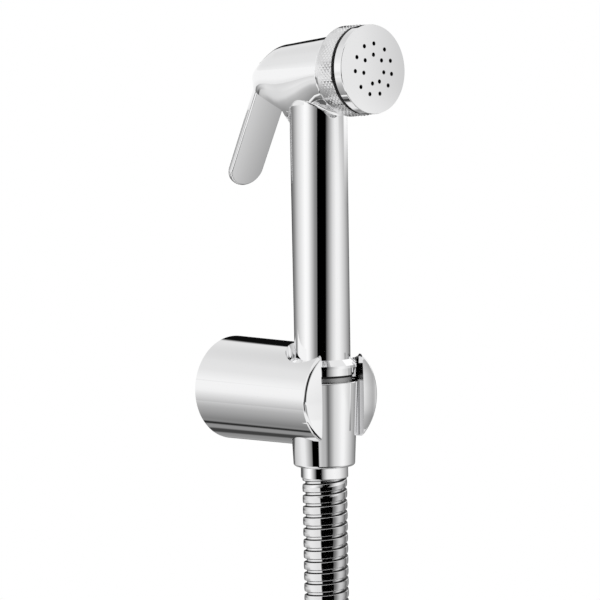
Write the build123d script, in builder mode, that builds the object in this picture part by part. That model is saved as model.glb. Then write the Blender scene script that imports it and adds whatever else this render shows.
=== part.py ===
"""Health faucet: a hand sprayer with a squeeze lever, its wall holder and its coiled metal hose."""
import os
from math import acos, asin, atan2, cos, degrees, pi, radians, sin, tan

from build123d import *

# Frame: the wall is the plane Y 0, the spray points towards -Y and +Z is up.
# The origin is the middle of the wall plate's back face, on the holder's axis.

# Driving dimensions, in millimetres
WALL_TO_GRIP = 48.3
HEAD_HEIGHT = 113.4
GRIP_TOP_RADIUS = 10.1
GRIP_LOW_RADIUS = 9.9
BARREL_FRONT_RADIUS = 12.8
RING_RADIUS = 15.6
FACE_RADIUS = 15.2
HOLDER_WALL_RADIUS = 19.1
HOLDER_FRONT_RADIUS = 17.8
HOLDER_LENGTH = 58.0
NUT_TOP_RADIUS = 12.3
NUT_LOW_RADIUS = 10.9
HOSE_RADIUS = 8.0
HOSE_PITCH = 3.96
LEVER_LEAN = 27.8
LEVER_SQUEEZE = 15.0

# Places along the handset's upright axis
COLLAR_TOP = 13.2
COLLAR_RIM = 11.2
COLLAR_UNDER = 10.3
SHOULDER_LOW = 7.7
GROOVE_LOW = 6.9
SPIGOT_END = -5.2
NUT_TOP = 5.3
NUT_LOW = -24.8
FERRULE_LOW = -29.1

# Places along the head's level axis
RING_REAR = -61.0
RING_FRONT = -71.3
CAP_REAR = -72.7
CAP_FRONT = -76.2
NOSE_THREAD_END = -68.0

GRIP_PLANE = Plane.XZ.offset(WALL_TO_GRIP)
GRIP_AXIS = Axis((0, -WALL_TO_GRIP, 0), (0, 0, 1))
HEAD_AXIS = Axis((0, 0, HEAD_HEIGHT), (0, 1, 0))
HOLDER_AXIS = Axis((0, 0, 0), (0, 1, 0))


def turn(plane, axis, outline, mode=Mode.ADD):
    """Turns a closed outline about an axis, as on a lathe, in the part being built."""
    with BuildSketch(plane) as section:
        with BuildLine():
            Polyline(*outline, close=True)
        make_face()
    revolve(section.sketch, axis=axis, mode=mode)


def turn_about_grip(outline, mode=Mode.ADD):
    """Turns (radius, height) points about the handset's upright axis."""
    turn(GRIP_PLANE, GRIP_AXIS, outline, mode)


def turn_about_head(outline, mode=Mode.ADD):
    """Turns (radius, place along Y) points about the spray head's level axis."""
    turn(Plane.YZ, HEAD_AXIS, [(y, HEAD_HEIGHT + radius) for radius, y in outline], mode)


def turn_about_holder(outline, mode=Mode.ADD):
    """Turns (radius, place along Y) points about the holder's level axis."""
    turn(Plane.YZ, HOLDER_AXIS, [(y, radius) for radius, y in outline], mode)


def save(part, name):
    """Labels a finished piece and writes it under its own name."""
    part.label = name
    export_step(part, f"parts/{name}.step")
    print(f"{name:16s} volume {part.volume:10.1f} mm3")


os.makedirs("parts", exist_ok=True)

# Wall plate: a shallow cup screwed to the wall, that the holder slides over
PLATE_RADIUS = 16.0
PLATE_DEPTH = 11.0
PLATE_FLOOR = 4.0
PLATE_RIM = 2.6
WALL_HOLE_RADIUS = 2.3
WALL_HOLE_SPACING = 18.0
GRUB_RADIUS = 2.0
GRUB_PLACE = 7.0

with BuildPart() as wall_plate:
    turn_about_holder([(0, 0), (PLATE_RADIUS, 0), (PLATE_RADIUS, -PLATE_DEPTH),
                       (PLATE_RADIUS - PLATE_RIM, -PLATE_DEPTH), (PLATE_RADIUS - PLATE_RIM, -PLATE_FLOOR),
                       (0, -PLATE_FLOOR)])
    with Locations(Plane.XZ.offset(PLATE_FLOOR)):
        with Locations((0, WALL_HOLE_SPACING / 2), (0, -WALL_HOLE_SPACING / 2)):
            CounterSinkHole(radius=WALL_HOLE_RADIUS, counter_sink_radius=4.2, depth=PLATE_FLOOR)
    with Locations(Plane(origin=(0, -GRUB_PLACE, -PLATE_RADIUS - 1), z_dir=(0, 0, -1))):
        Hole(radius=GRUB_RADIUS + 0.1, depth=PLATE_RIM + 2)
save(wall_plate.part, "wall_plate")

# Holder: a short tapered drum standing out from the wall, cored out behind, with a tapered
# bore for the hose nut and a slot in front that lets the hose in sideways
PLATE_CLEARANCE = 0.15
PLATE_SOCKET_DEPTH = 13.0
CORE_RADIUS = 13.2
CORE_DEPTH = 31.0
FRONT_DOME = 0.8
FRONT_ROUND = 1.3
SLOT_HALF_WIDTH = 10.15
BORE_CLEARANCE = 0.25
NUT_SLOPE = (NUT_TOP_RADIUS - NUT_LOW_RADIUS) / (NUT_TOP - NUT_LOW)


def bore_radius(height):
    """Radius of the holder's tapered bore at a height: the nut's own cone plus its clearance."""
    return NUT_LOW_RADIUS + NUT_SLOPE * (height - NUT_LOW) + BORE_CLEARANCE


with BuildPart() as holder_body:
    with BuildSketch(Plane.YZ) as drum_half:
        with BuildLine():
            Polyline((-HOLDER_LENGTH - FRONT_DOME, 0), (0, 0), (0, HOLDER_WALL_RADIUS),
                     (-HOLDER_LENGTH, HOLDER_FRONT_RADIUS))
            ThreePointArc((-HOLDER_LENGTH, HOLDER_FRONT_RADIUS),
                          (-HOLDER_LENGTH - FRONT_DOME * 0.75, HOLDER_FRONT_RADIUS / 2),
                          (-HOLDER_LENGTH - FRONT_DOME, 0))
        make_face()
        fillet(drum_half.vertices().sort_by(Axis.X).filter_by_position(Axis.Y, 15, 18), FRONT_ROUND)
    revolve(axis=HOLDER_AXIS)
    turn_about_holder([(0, 0), (PLATE_RADIUS + PLATE_CLEARANCE, 0),
                       (PLATE_RADIUS + PLATE_CLEARANCE, -PLATE_SOCKET_DEPTH),
                       (CORE_RADIUS, -PLATE_SOCKET_DEPTH),
                       (CORE_RADIUS, -CORE_DEPTH), (0, -CORE_DEPTH)], Mode.SUBTRACT)
    bore_top = HOLDER_WALL_RADIUS + 2
    turn_about_grip([(0, -bore_top), (bore_radius(-bore_top), -bore_top), (bore_radius(bore_top), bore_top),
                     (0, bore_top)], Mode.SUBTRACT)
    with Locations((0, -WALL_TO_GRIP - 10, 0)):
        Box(2 * SLOT_HALF_WIDTH, 20, 2 * bore_top, mode=Mode.SUBTRACT)
    with Locations(Plane(origin=(0, -GRUB_PLACE, -HOLDER_WALL_RADIUS - 1), z_dir=(0, 0, -1))):
        Hole(radius=GRUB_RADIUS + 0.05, depth=6)
save(holder_body.part, "holder_body")

# Grub screw: locks the holder on the wall plate from below
GRUB_LENGTH = 5.0
GRUB_LOW = -18.4
SOCKET_DEPTH = 2.0

with BuildPart() as grub_screw:
    with BuildSketch(Plane.XY.offset(GRUB_LOW)):
        with Locations((0, -GRUB_PLACE)):
            Circle(GRUB_RADIUS)
    extrude(amount=GRUB_LENGTH)
    with BuildSketch(Plane.XY.offset(GRUB_LOW)):
        with Locations((0, -GRUB_PLACE)):
            RegularPolygon(radius=1.0, side_count=6, major_radius=False)
    extrude(amount=SOCKET_DEPTH, mode=Mode.SUBTRACT)
save(grub_screw.part, "grub_screw")

# Handset body: one hollow brass casting. The level barrel widens to the front and deepens where
# the grip runs into it, its tail slopes down to a blunt rounded end over the lever, and the
# upright grip ends in a flared collar and a threaded spigot.
# Half width, rise and drop of the barrel and tail at places along the head
HEAD_SECTIONS = [
    (RING_REAR, BARREL_FRONT_RADIUS, BARREL_FRONT_RADIUS, BARREL_FRONT_RADIUS),
    (-57.0, 12.60, 12.60, 13.20),
    (-53.0, 12.35, 12.35, 14.70),
    (-48.3, 12.10, 12.10, 16.80),
    (-43.0, 11.80, 11.80, 18.20),
    (-38.5, 11.53, 11.53, 18.20),
    (-36.0, 11.40, 11.40, 17.40),
    (-33.0, 11.40, 11.10, 15.60),
    (-30.0, 11.30, 9.70, 13.80),
    (-27.0, 10.55, 7.60, 12.80),
    (-24.0, 9.15, 5.10, 11.80),
    (-21.5, 7.00, 3.20, 9.80),
    (-19.7, 4.30, 2.00, 6.00),
    (-18.9, 1.60, 1.00, 2.20),
]
JUNCTION_ROUND = 2.2
GRIP_STRAIGHT_LOW = 92.0
COLLAR_RADIUS = 12.1
SHOULDER_RADIUS = 11.0
GROOVE_RADIUS = 9.8
THREAD_RADIUS = 10.4
GRIP_BORE = 6.0
CHAMBER_RADIUS = 8.8
CHAMBER_REAR = -43.0
NOSE_THREAD_RADIUS = 11.85
POCKET_FRONT = -38.6
SEAL_SEAT = -41.2
SEAL_RADIUS = 3.4
STEM_RADIUS = 1.6
STEM_HOLE_RADIUS = 1.75
UNDERCUT_PLACE = (-32.0, 104.4)
UNDERCUT_CLEAR = 0.1
UNDERCUT_REACH = 16.0
UNDERCUT_DROP = 16.0

# The lever hangs in a plane that leans back by LEVER_LEAN from a pin across the tail
PIN_Y = -28.3
PIN_Z = 117.5
PIN_RADIUS = 1.0
LEVER_THICKNESS = 2.2
LEVER_HALF_WIDTH = 7.9
LEVER_TIP_HALF_WIDTH = 7.65
LEVER_NECK_HALF_WIDTH = 5.0
LEVER_NECK_LENGTH = 7.5
LEVER_LENGTH = 47.7
BOSS_RADIUS = 2.0
POCKET_GAP = 0.35
POCKET_LOW = 97.0
POCKET_WIDE_TOP = 112.3
POCKET_NECK_LOW = 111.3
PIN_BLIND = 8.8
PIN_RIGHT = 9.1
LEAN = tan(radians(LEVER_LEAN))
HALF_PLATE_LEVEL = LEVER_THICKNESS / 2 / cos(radians(LEVER_LEAN))


def lever_middle(z):
    """Y of the lever plate's middle plane at a height."""
    return PIN_Y + (PIN_Z - z) * LEAN


def pocket_rear(z):
    """Y of the lever pocket's rear wall at a height."""
    return lever_middle(z) + HALF_PLATE_LEVEL + POCKET_GAP


def on_grip(edge):
    """Whether an edge is the seam where the grip runs into the barrel."""
    middle = edge @ 0.5
    reach = ((middle.X) ** 2 + (middle.Y + WALL_TO_GRIP) ** 2) ** 0.5
    return abs(reach - GRIP_TOP_RADIUS) < 0.1 and GRIP_STRAIGHT_LOW + 1 < middle.Z < HEAD_HEIGHT


with BuildPart() as handset_body:
    for y, half_width, rise, drop in HEAD_SECTIONS:
        with BuildSketch(Plane.XZ.offset(-y)) as head_section:
            with BuildLine():
                for start, height in ((0, rise), (90, rise), (180, drop), (270, drop)):
                    EllipticalCenterArc((0, HEAD_HEIGHT), half_width, height, start, arc_size=90)
            make_face()
    loft()
    turn_about_head([(0, RING_REAR), (NOSE_THREAD_RADIUS, RING_REAR), (NOSE_THREAD_RADIUS, NOSE_THREAD_END),
                     (0, NOSE_THREAD_END)])
    turn_about_grip([(0, HEAD_HEIGHT), (GRIP_TOP_RADIUS, HEAD_HEIGHT), (GRIP_TOP_RADIUS, GRIP_STRAIGHT_LOW),
                     (GRIP_LOW_RADIUS, COLLAR_TOP), (COLLAR_RADIUS, COLLAR_RIM),
                     (COLLAR_RADIUS, COLLAR_UNDER),
                     (SHOULDER_RADIUS, COLLAR_UNDER), (SHOULDER_RADIUS, SHOULDER_LOW),
                     (GROOVE_RADIUS, SHOULDER_LOW),
                     (GROOVE_RADIUS, GROOVE_LOW), (THREAD_RADIUS, GROOVE_LOW), (THREAD_RADIUS, SPIGOT_END),
                     (0, SPIGOT_END)])
    fillet(handset_body.edges().filter_by(on_grip), JUNCTION_ROUND)
    # The underside of the tail is cut square to the lever
    cut_y, cut_z = UNDERCUT_PLACE
    cut_front = -WALL_TO_GRIP + GRIP_TOP_RADIUS + UNDERCUT_CLEAR
    cut_rear = cut_y + UNDERCUT_REACH
    cut_low = cut_z - UNDERCUT_DROP
    with BuildSketch(Plane.YZ):
        with BuildLine():
            Polyline((cut_rear, cut_z + UNDERCUT_REACH * LEAN),
                     (cut_front, cut_z + (cut_front - cut_y) * LEAN),
                     (cut_front, cut_low), (cut_rear, cut_low), close=True)
        make_face()
    extrude(amount=BARREL_FRONT_RADIUS, both=True, mode=Mode.SUBTRACT)
    # Lever pocket: wide where the plate hangs, narrower round its neck and boss
    with BuildSketch(Plane.YZ):
        with BuildLine():
            Polyline((pocket_rear(POCKET_LOW), POCKET_LOW), (pocket_rear(POCKET_WIDE_TOP), POCKET_WIDE_TOP),
                     (POCKET_FRONT, POCKET_WIDE_TOP), (POCKET_FRONT, POCKET_LOW), close=True)
        make_face()
    extrude(amount=LEVER_HALF_WIDTH + POCKET_GAP, both=True, mode=Mode.SUBTRACT)
    with BuildSketch(Plane.YZ):
        with BuildLine():
            Polyline((pocket_rear(POCKET_NECK_LOW), POCKET_NECK_LOW), (pocket_rear(PIN_Z), PIN_Z),
                     (PIN_Y, PIN_Z + BOSS_RADIUS + POCKET_GAP), (POCKET_FRONT, PIN_Z),
                     (POCKET_FRONT, POCKET_NECK_LOW), close=True)
        make_face()
        with Locations((PIN_Y, PIN_Z)):
            Circle(BOSS_RADIUS + POCKET_GAP)
    extrude(amount=LEVER_NECK_HALF_WIDTH + POCKET_GAP, both=True, mode=Mode.SUBTRACT)
    with BuildSketch(Plane.YZ.offset(-PIN_BLIND)):
        with Locations((PIN_Y, PIN_Z)):
            Circle(PIN_RADIUS)
    extrude(amount=PIN_BLIND + BARREL_FRONT_RADIUS, mode=Mode.SUBTRACT)
    # Water way: up the grip into the valve chamber, and forward through the threaded nose
    turn_about_head([(0, NOSE_THREAD_END), (CHAMBER_RADIUS, NOSE_THREAD_END), (CHAMBER_RADIUS, CHAMBER_REAR),
                     (SEAL_RADIUS, CHAMBER_REAR), (SEAL_RADIUS, SEAL_SEAT), (STEM_HOLE_RADIUS, SEAL_SEAT),
                     (STEM_HOLE_RADIUS, POCKET_FRONT), (0, POCKET_FRONT)], Mode.SUBTRACT)
    turn_about_grip([(0, SPIGOT_END), (GRIP_BORE, SPIGOT_END), (GRIP_BORE, HEAD_HEIGHT - GRIP_BORE),
                     (0, HEAD_HEIGHT - GRIP_BORE)], Mode.SUBTRACT)
save(handset_body.part, "handset_body")

# Lever pin: pressed in from the right side, short of the left skin
with BuildPart() as lever_pin:
    with BuildSketch(Plane.YZ.offset(-PIN_BLIND)):
        with Locations((PIN_Y, PIN_Z)):
            Circle(PIN_RADIUS)
    extrude(amount=PIN_BLIND + PIN_RIGHT)
save(lever_pin.part, "lever_pin")

# Lever: a flat tapered plate with a round end, a narrower neck and a boss round the pin
LEVER_PLANE = Plane(origin=(0, PIN_Y, PIN_Z), x_dir=(1, 0, 0),
                    z_dir=(0, -cos(radians(LEVER_LEAN)), -sin(radians(LEVER_LEAN))))
PIN_RUNNING_GAP = 0.05
LEVER_WIDE_LENGTH = 10.5
LEVER_NECK_SLOPE = 1.0
TIP_ROUND_START = -41.2

with BuildPart() as lever:
    with BuildSketch(LEVER_PLANE):
        with BuildLine():
            neck_end = -LEVER_NECK_LENGTH + LEVER_NECK_SLOPE
            Polyline((-LEVER_TIP_HALF_WIDTH, TIP_ROUND_START), (-LEVER_HALF_WIDTH, -LEVER_WIDE_LENGTH),
                     (-LEVER_HALF_WIDTH, -LEVER_NECK_LENGTH), (-LEVER_NECK_HALF_WIDTH, neck_end),
                     (-LEVER_NECK_HALF_WIDTH, 0), (LEVER_NECK_HALF_WIDTH, 0),
                     (LEVER_NECK_HALF_WIDTH, neck_end), (LEVER_HALF_WIDTH, -LEVER_NECK_LENGTH),
                     (LEVER_HALF_WIDTH, -LEVER_WIDE_LENGTH), (LEVER_TIP_HALF_WIDTH, TIP_ROUND_START))
            EllipticalCenterArc((0, TIP_ROUND_START), LEVER_TIP_HALF_WIDTH, LEVER_LENGTH + TIP_ROUND_START,
                                180, arc_size=180)
        make_face()
    extrude(amount=LEVER_THICKNESS / 2, both=True)
    with BuildSketch(Plane.YZ.offset(-LEVER_NECK_HALF_WIDTH)):
        with Locations((PIN_Y, PIN_Z)):
            Circle(BOSS_RADIUS)
    extrude(amount=2 * LEVER_NECK_HALF_WIDTH)
    with BuildSketch(Plane.YZ.offset(-LEVER_NECK_HALF_WIDTH)):
        with Locations((PIN_Y, PIN_Z)):
            Circle(PIN_RADIUS + PIN_RUNNING_GAP)
    extrude(amount=2 * LEVER_NECK_HALF_WIDTH, mode=Mode.SUBTRACT)
save(lever.part, "lever")

# Valve stem: its round tip meets the lever, and its flange behind the spray face carries the washer
TIP_GAP = 0.27
TIP_SPHERE = 1.75
TIP_RISE = TIP_SPHERE - (TIP_SPHERE ** 2 - STEM_RADIUS ** 2) ** 0.5
STEM_TIP = lever_middle(HEAD_HEIGHT) - HALF_PLATE_LEVEL - TIP_GAP
CLIP_PLACE = -31.8
CLIP_THICKNESS = 0.6
CLIP_GROOVE = 1.25
SEAT_FACE = -61.6
WASHER_THICKNESS = 1.5
FLANGE_RADIUS = 5.2
FLANGE_THICKNESS = 1.2
WASHER_REAR = SEAT_FACE - 0.02
WASHER_RADIUS = 5.0

with BuildPart() as valve_stem:
    with BuildSketch(Plane.YZ):
        with BuildLine():
            flange_rear = WASHER_REAR - WASHER_THICKNESS
            Polyline(
                (STEM_TIP - TIP_RISE, HEAD_HEIGHT + STEM_RADIUS), (CLIP_PLACE, HEAD_HEIGHT + STEM_RADIUS),
                (CLIP_PLACE, HEAD_HEIGHT + CLIP_GROOVE),
                (CLIP_PLACE - CLIP_THICKNESS, HEAD_HEIGHT + CLIP_GROOVE),
                (CLIP_PLACE - CLIP_THICKNESS, HEAD_HEIGHT + STEM_RADIUS),
                (flange_rear, HEAD_HEIGHT + STEM_RADIUS),
                (flange_rear, HEAD_HEIGHT + FLANGE_RADIUS),
                (flange_rear - FLANGE_THICKNESS, HEAD_HEIGHT + FLANGE_RADIUS),
                (flange_rear - 2 * FLANGE_THICKNESS, HEAD_HEIGHT), (STEM_TIP, HEAD_HEIGHT))
            ThreePointArc((STEM_TIP, HEAD_HEIGHT),
                          (STEM_TIP - TIP_SPHERE * (1 - cos(pi / 6)), HEAD_HEIGHT + TIP_SPHERE * sin(pi / 6)),
                          (STEM_TIP - TIP_RISE, HEAD_HEIGHT + STEM_RADIUS))
        make_face()
    revolve(axis=HEAD_AXIS)
save(valve_stem.part, "valve_stem")

# Valve washer: the rubber disc that closes on the seat
with BuildPart() as valve_washer:
    turn_about_head([(STEM_RADIUS, WASHER_REAR), (WASHER_RADIUS, WASHER_REAR),
                     (WASHER_RADIUS, WASHER_REAR - WASHER_THICKNESS),
                     (STEM_RADIUS, WASHER_REAR - WASHER_THICKNESS)])
save(valve_washer.part, "valve_washer")

# Stem clip: an open spring clip in the stem's groove, that holds the spring cap
CLIP_RADIUS = 2.8
CLIP_MOUTH = 2.1

with BuildPart() as stem_clip:
    turn_about_head([(CLIP_GROOVE, CLIP_PLACE), (CLIP_RADIUS, CLIP_PLACE),
                     (CLIP_RADIUS, CLIP_PLACE - CLIP_THICKNESS),
                     (CLIP_GROOVE, CLIP_PLACE - CLIP_THICKNESS)])
    with Locations((0, CLIP_PLACE, HEAD_HEIGHT - CLIP_RADIUS)):
        Box(CLIP_MOUTH, 2 * CLIP_RADIUS, 2 * CLIP_RADIUS, mode=Mode.SUBTRACT)
save(stem_clip.part, "stem_clip")

# Spring cap: a flat washer between the clip and the spring
CAP_WASHER_REAR = CLIP_PLACE - CLIP_THICKNESS
CAP_WASHER_THICKNESS = 1.0
CAP_WASHER_RADIUS = 3.1

with BuildPart() as spring_cap:
    turn_about_head([(STEM_RADIUS, CAP_WASHER_REAR), (CAP_WASHER_RADIUS, CAP_WASHER_REAR),
                     (CAP_WASHER_RADIUS, CAP_WASHER_REAR - CAP_WASHER_THICKNESS),
                     (STEM_RADIUS, CAP_WASHER_REAR - CAP_WASHER_THICKNESS)])
save(spring_cap.part, "spring_cap")

# Return spring: a short compression coil of square wire round the stem
SPRING_REAR = CAP_WASHER_REAR - CAP_WASHER_THICKNESS
SPRING_WIRE = 0.55
SPRING_TURNS = 3
SPRING_MEAN_RADIUS = 2.35
SPRING_END_GAP = 0.05
SPRING_RISE = SPRING_REAR - POCKET_FRONT - SPRING_WIRE - 2 * SPRING_END_GAP

with BuildPart() as return_spring:
    with BuildLine() as spring_line:
        Helix(pitch=SPRING_RISE / SPRING_TURNS, height=SPRING_RISE, radius=SPRING_MEAN_RADIUS,
              center=(0, POCKET_FRONT + SPRING_WIRE / 2 + SPRING_END_GAP, HEAD_HEIGHT), direction=(0, 1, 0))
    with BuildSketch(Plane(origin=spring_line.line @ 0, z_dir=spring_line.line % 0)):
        Rectangle(SPRING_WIRE, SPRING_WIRE)
    sweep(path=spring_line.line, is_frenet=True)
save(return_spring.part, "return_spring")

# Stem seal and gland nut: the rubber ring that keeps water out of the lever pocket, and the
# hexagon-headed nut that holds it
SEAL_THICKNESS = 1.1
GLAND_HEAD_RADIUS = 4.2
GLAND_END = -45.0
STEM_RUNNING_GAP = 0.05

with BuildPart() as stem_seal:
    turn_about_head([(STEM_RADIUS + STEM_RUNNING_GAP, SEAL_SEAT), (SEAL_RADIUS, SEAL_SEAT),
                     (SEAL_RADIUS, SEAL_SEAT - SEAL_THICKNESS),
                     (STEM_RADIUS + STEM_RUNNING_GAP, SEAL_SEAT - SEAL_THICKNESS)])
save(stem_seal.part, "stem_seal")

with BuildPart() as gland_nut:
    with BuildSketch(Plane.XZ.offset(-SEAL_SEAT + SEAL_THICKNESS)):
        with Locations((0, HEAD_HEIGHT)):
            Circle(SEAL_RADIUS)
    extrude(amount=SEAL_SEAT - SEAL_THICKNESS - CHAMBER_REAR)
    with BuildSketch(Plane.XZ.offset(-CHAMBER_REAR)):
        with Locations((0, HEAD_HEIGHT)):
            RegularPolygon(radius=GLAND_HEAD_RADIUS, side_count=6, major_radius=False)
    extrude(amount=CHAMBER_REAR - GLAND_END)
    with BuildSketch(Plane.XZ.offset(-SEAL_SEAT)):
        with Locations((0, HEAD_HEIGHT)):
            Circle(STEM_RADIUS + STEM_RUNNING_GAP)
    extrude(amount=SEAL_SEAT - GLAND_END, mode=Mode.SUBTRACT)
save(gland_nut.part, "gland_nut")

# Valve seat: a brass insert screwed into the chamber, with a raised lip in front
SEAT_REAR = -58.0
SEAT_PLATE_FRONT = -61.0
ORIFICE_RADIUS = 3.5
LIP_RADIUS = 4.6
LIP_CROWN_RADIUS = 4.2
ORIFICE_MOUTH = 1.5

with BuildPart() as valve_seat:
    turn_about_head([(ORIFICE_RADIUS + ORIFICE_MOUTH, SEAT_REAR), (CHAMBER_RADIUS, SEAT_REAR),
                     (CHAMBER_RADIUS, SEAT_PLATE_FRONT), (LIP_RADIUS, SEAT_PLATE_FRONT),
                     (LIP_CROWN_RADIUS, SEAT_FACE), (ORIFICE_RADIUS, SEAT_FACE),
                     (ORIFICE_RADIUS, SEAT_REAR - ORIFICE_MOUTH)])
save(valve_seat.part, "valve_seat")

# Knurled ring: the coupling ring that draws the spray face against the body
RING_BORE = NOSE_THREAD_RADIUS + 0.05
RING_REAR_RADIUS = 13.0
RING_FLARE_RADIUS = 14.4
RING_FLARE = 1.7
RING_SHOULDER = 3.4
RING_EDGE = 0.4

with BuildPart() as knurled_ring:
    turn_about_head([(RING_BORE, RING_REAR), (RING_REAR_RADIUS, RING_REAR),
                     (RING_FLARE_RADIUS, RING_REAR - RING_FLARE), (RING_RADIUS, RING_REAR - RING_SHOULDER),
                     (RING_RADIUS, RING_FRONT + RING_EDGE), (RING_RADIUS - RING_EDGE, RING_FRONT),
                     (RING_BORE, RING_FRONT)])
save(knurled_ring.part, "knurled_ring")

# Face seal: the black rubber ring that shows as a dark line behind the face
FACE_SEAL_RADIUS = 14.2

with BuildPart() as face_seal:
    turn_about_head([(RING_BORE, RING_FRONT), (FACE_SEAL_RADIUS, RING_FRONT), (FACE_SEAL_RADIUS, CAP_REAR),
                     (RING_BORE, CAP_REAR)])
save(face_seal.part, "face_seal")

# Spray face: a cup with a threaded skirt and a plate that is flat in the middle and falls away
# a little to its rim, drilled with two rings of jets
FACE_DOME = 0.6
FACE_FLAT_RADIUS = 11.0
FACE_EDGE = 0.4
FACE_PLATE = 1.7
SKIRT_BORE = 10.0
SKIRT_END = -68.2
JET_RADIUS = 0.75
OUTER_JET_CIRCLE = 8.7
INNER_JET_CIRCLE = 4.9
# Degrees of each jet from the top, clockwise from in front: they are drilled a little unevenly
OUTER_JET_TURNS = (2, 38, 69, 99, 128, 161, 193, 225, 264, 296, 331)
INNER_JET_TURNS = (0, 51, 101, 147, 188, 254, 306)

with BuildPart() as spray_face:
    turn_about_head([(0, CAP_FRONT - FACE_DOME), (FACE_FLAT_RADIUS, CAP_FRONT - FACE_DOME),
                     (FACE_RADIUS - FACE_EDGE, CAP_FRONT), (FACE_RADIUS, CAP_FRONT + FACE_EDGE),
                     (FACE_RADIUS, CAP_REAR), (NOSE_THREAD_RADIUS, CAP_REAR), (NOSE_THREAD_RADIUS, SKIRT_END),
                     (SKIRT_BORE, SKIRT_END), (SKIRT_BORE, CAP_FRONT + FACE_PLATE),
                     (0, CAP_FRONT + FACE_PLATE)])
    with BuildSketch(Plane.XZ.offset(-CAP_FRONT - FACE_PLATE)):
        for circle, turns in ((OUTER_JET_CIRCLE, OUTER_JET_TURNS), (INNER_JET_CIRCLE, INNER_JET_TURNS)):
            for jet_turn in turns:
                with Locations((circle * sin(radians(jet_turn)), HEAD_HEIGHT + circle * cos(radians(jet_turn)))):
                    Circle(JET_RADIUS)
    extrude(amount=FACE_PLATE + FACE_DOME, mode=Mode.SUBTRACT)
save(spray_face.part, "spray_face")

# Cone nut: joins the hose to the grip's spigot and seats in the holder's tapered bore
NUT_THREAD_BORE = 10.5
NUT_LEDGE = -9.8
NUT_SLEEVE_BORE = 8.6
NUT_LOW_EDGE = 0.8
NUT_TOP_EDGE = 0.4

with BuildPart() as cone_nut:
    turn_about_grip([(NUT_THREAD_BORE, NUT_TOP), (NUT_TOP_RADIUS - NUT_TOP_EDGE, NUT_TOP),
                     (NUT_TOP_RADIUS - NUT_TOP_EDGE * NUT_SLOPE, NUT_TOP - NUT_TOP_EDGE),
                     (NUT_LOW_RADIUS + NUT_LOW_EDGE * NUT_SLOPE, NUT_LOW + NUT_LOW_EDGE),
                     (NUT_LOW_RADIUS - NUT_LOW_EDGE, NUT_LOW), (NUT_SLEEVE_BORE, NUT_LOW),
                     (NUT_SLEEVE_BORE, NUT_LEDGE), (NUT_THREAD_BORE, NUT_LEDGE)])
save(cone_nut.part, "cone_nut")

# Nut washer: the flat rubber ring between the spigot and the hose tail
WASHER_LOW = -7.2
TAIL_BORE = 3.2
TAIL_TUBE_RADIUS = 4.0
TAIL_FLANGE_RADIUS = 10.0

with BuildPart() as nut_washer:
    turn_about_grip([(GRIP_BORE, SPIGOT_END), (TAIL_FLANGE_RADIUS, SPIGOT_END),
                     (TAIL_FLANGE_RADIUS, WASHER_LOW),
                     (GRIP_BORE, WASHER_LOW)])
save(nut_washer.part, "nut_washer")

# Hose tail, upper: a flanged brass tube that the nut turns on and the rubber tube is pushed over
TAIL_RUNNING_GAP = 0.05
TAIL_FLANGE_TOP = WASHER_LOW - TAIL_RUNNING_GAP
TAIL_FLANGE_LOW = -9.7
TAIL_END = -26.0
BARB_RISE = 0.35
BARB_LENGTH = 2.0
FERRULE_TOP = -10.2
INNER_TUBE_TOP = -11.0
INNER_TUBE_RADIUS = 5.5

with BuildPart() as hose_tail_upper:
    turn_about_grip([(TAIL_BORE, TAIL_FLANGE_TOP), (TAIL_FLANGE_RADIUS, TAIL_FLANGE_TOP),
                     (TAIL_FLANGE_RADIUS, TAIL_FLANGE_LOW), (TAIL_TUBE_RADIUS, TAIL_FLANGE_LOW),
                     (TAIL_TUBE_RADIUS, TAIL_END + BARB_LENGTH), (TAIL_TUBE_RADIUS - BARB_RISE, TAIL_END),
                     (TAIL_BORE, TAIL_END)])
save(hose_tail_upper.part, "hose_tail_upper")

# Ferrule, upper: the plain sleeve crimped over the end of the hose
FERRULE_RADIUS = 8.4

with BuildPart() as ferrule_upper:
    turn_about_grip([(INNER_TUBE_RADIUS, FERRULE_TOP), (FERRULE_RADIUS, FERRULE_TOP),
                     (FERRULE_RADIUS, FERRULE_LOW),
                     (INNER_TUBE_RADIUS, FERRULE_LOW)])
save(ferrule_upper.part, "ferrule_upper")

# Free hose: the metal armour that hangs straight down from the ferrule, one crest for each turn
# of its rolled strip
RIB_COUNT = 12
RIB_CREST = 2.45
RIB_FLANK = 0.35
ROOT_RADIUS = 6.85
ARMOUR_BORE = 5.9
FREE_LOW = FERRULE_LOW - RIB_COUNT * HOSE_PITCH

with BuildPart() as hose_free:
    rib_places = []
    for rib in range(RIB_COUNT):
        rib_top = FERRULE_LOW - rib * HOSE_PITCH
        rib_places += [(rib_top, HOSE_RADIUS), (rib_top - RIB_CREST, HOSE_RADIUS),
                       (rib_top - RIB_CREST - RIB_FLANK, ROOT_RADIUS),
                       (rib_top - HOSE_PITCH + RIB_FLANK, ROOT_RADIUS)]
    rib_places.append((FREE_LOW, HOSE_RADIUS))
    for place, radius in rib_places:
        with BuildSketch(Plane(origin=(0, -WALL_TO_GRIP, place), x_dir=(1, 0, 0), z_dir=(0, 0, 1))):
            Circle(radius)
    loft(ruled=True)
    with BuildSketch(Plane(origin=(0, -WALL_TO_GRIP, FREE_LOW), x_dir=(1, 0, 0), z_dir=(0, 0, 1))):
        Circle(ARMOUR_BORE)
    extrude(amount=RIB_COUNT * HOSE_PITCH, mode=Mode.SUBTRACT)
save(hose_free.part, "hose_free")

# Inner tube: the rubber tube that carries the water inside the armour
INNER_TUBE_BORE = 4.0

with BuildPart() as inner_tube:
    turn_about_grip([(INNER_TUBE_BORE, INNER_TUBE_TOP), (INNER_TUBE_RADIUS, INNER_TUBE_TOP),
                     (INNER_TUBE_RADIUS, FREE_LOW), (INNER_TUBE_BORE, FREE_LOW)])
save(inner_tube.part, "inner_tube")

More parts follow.
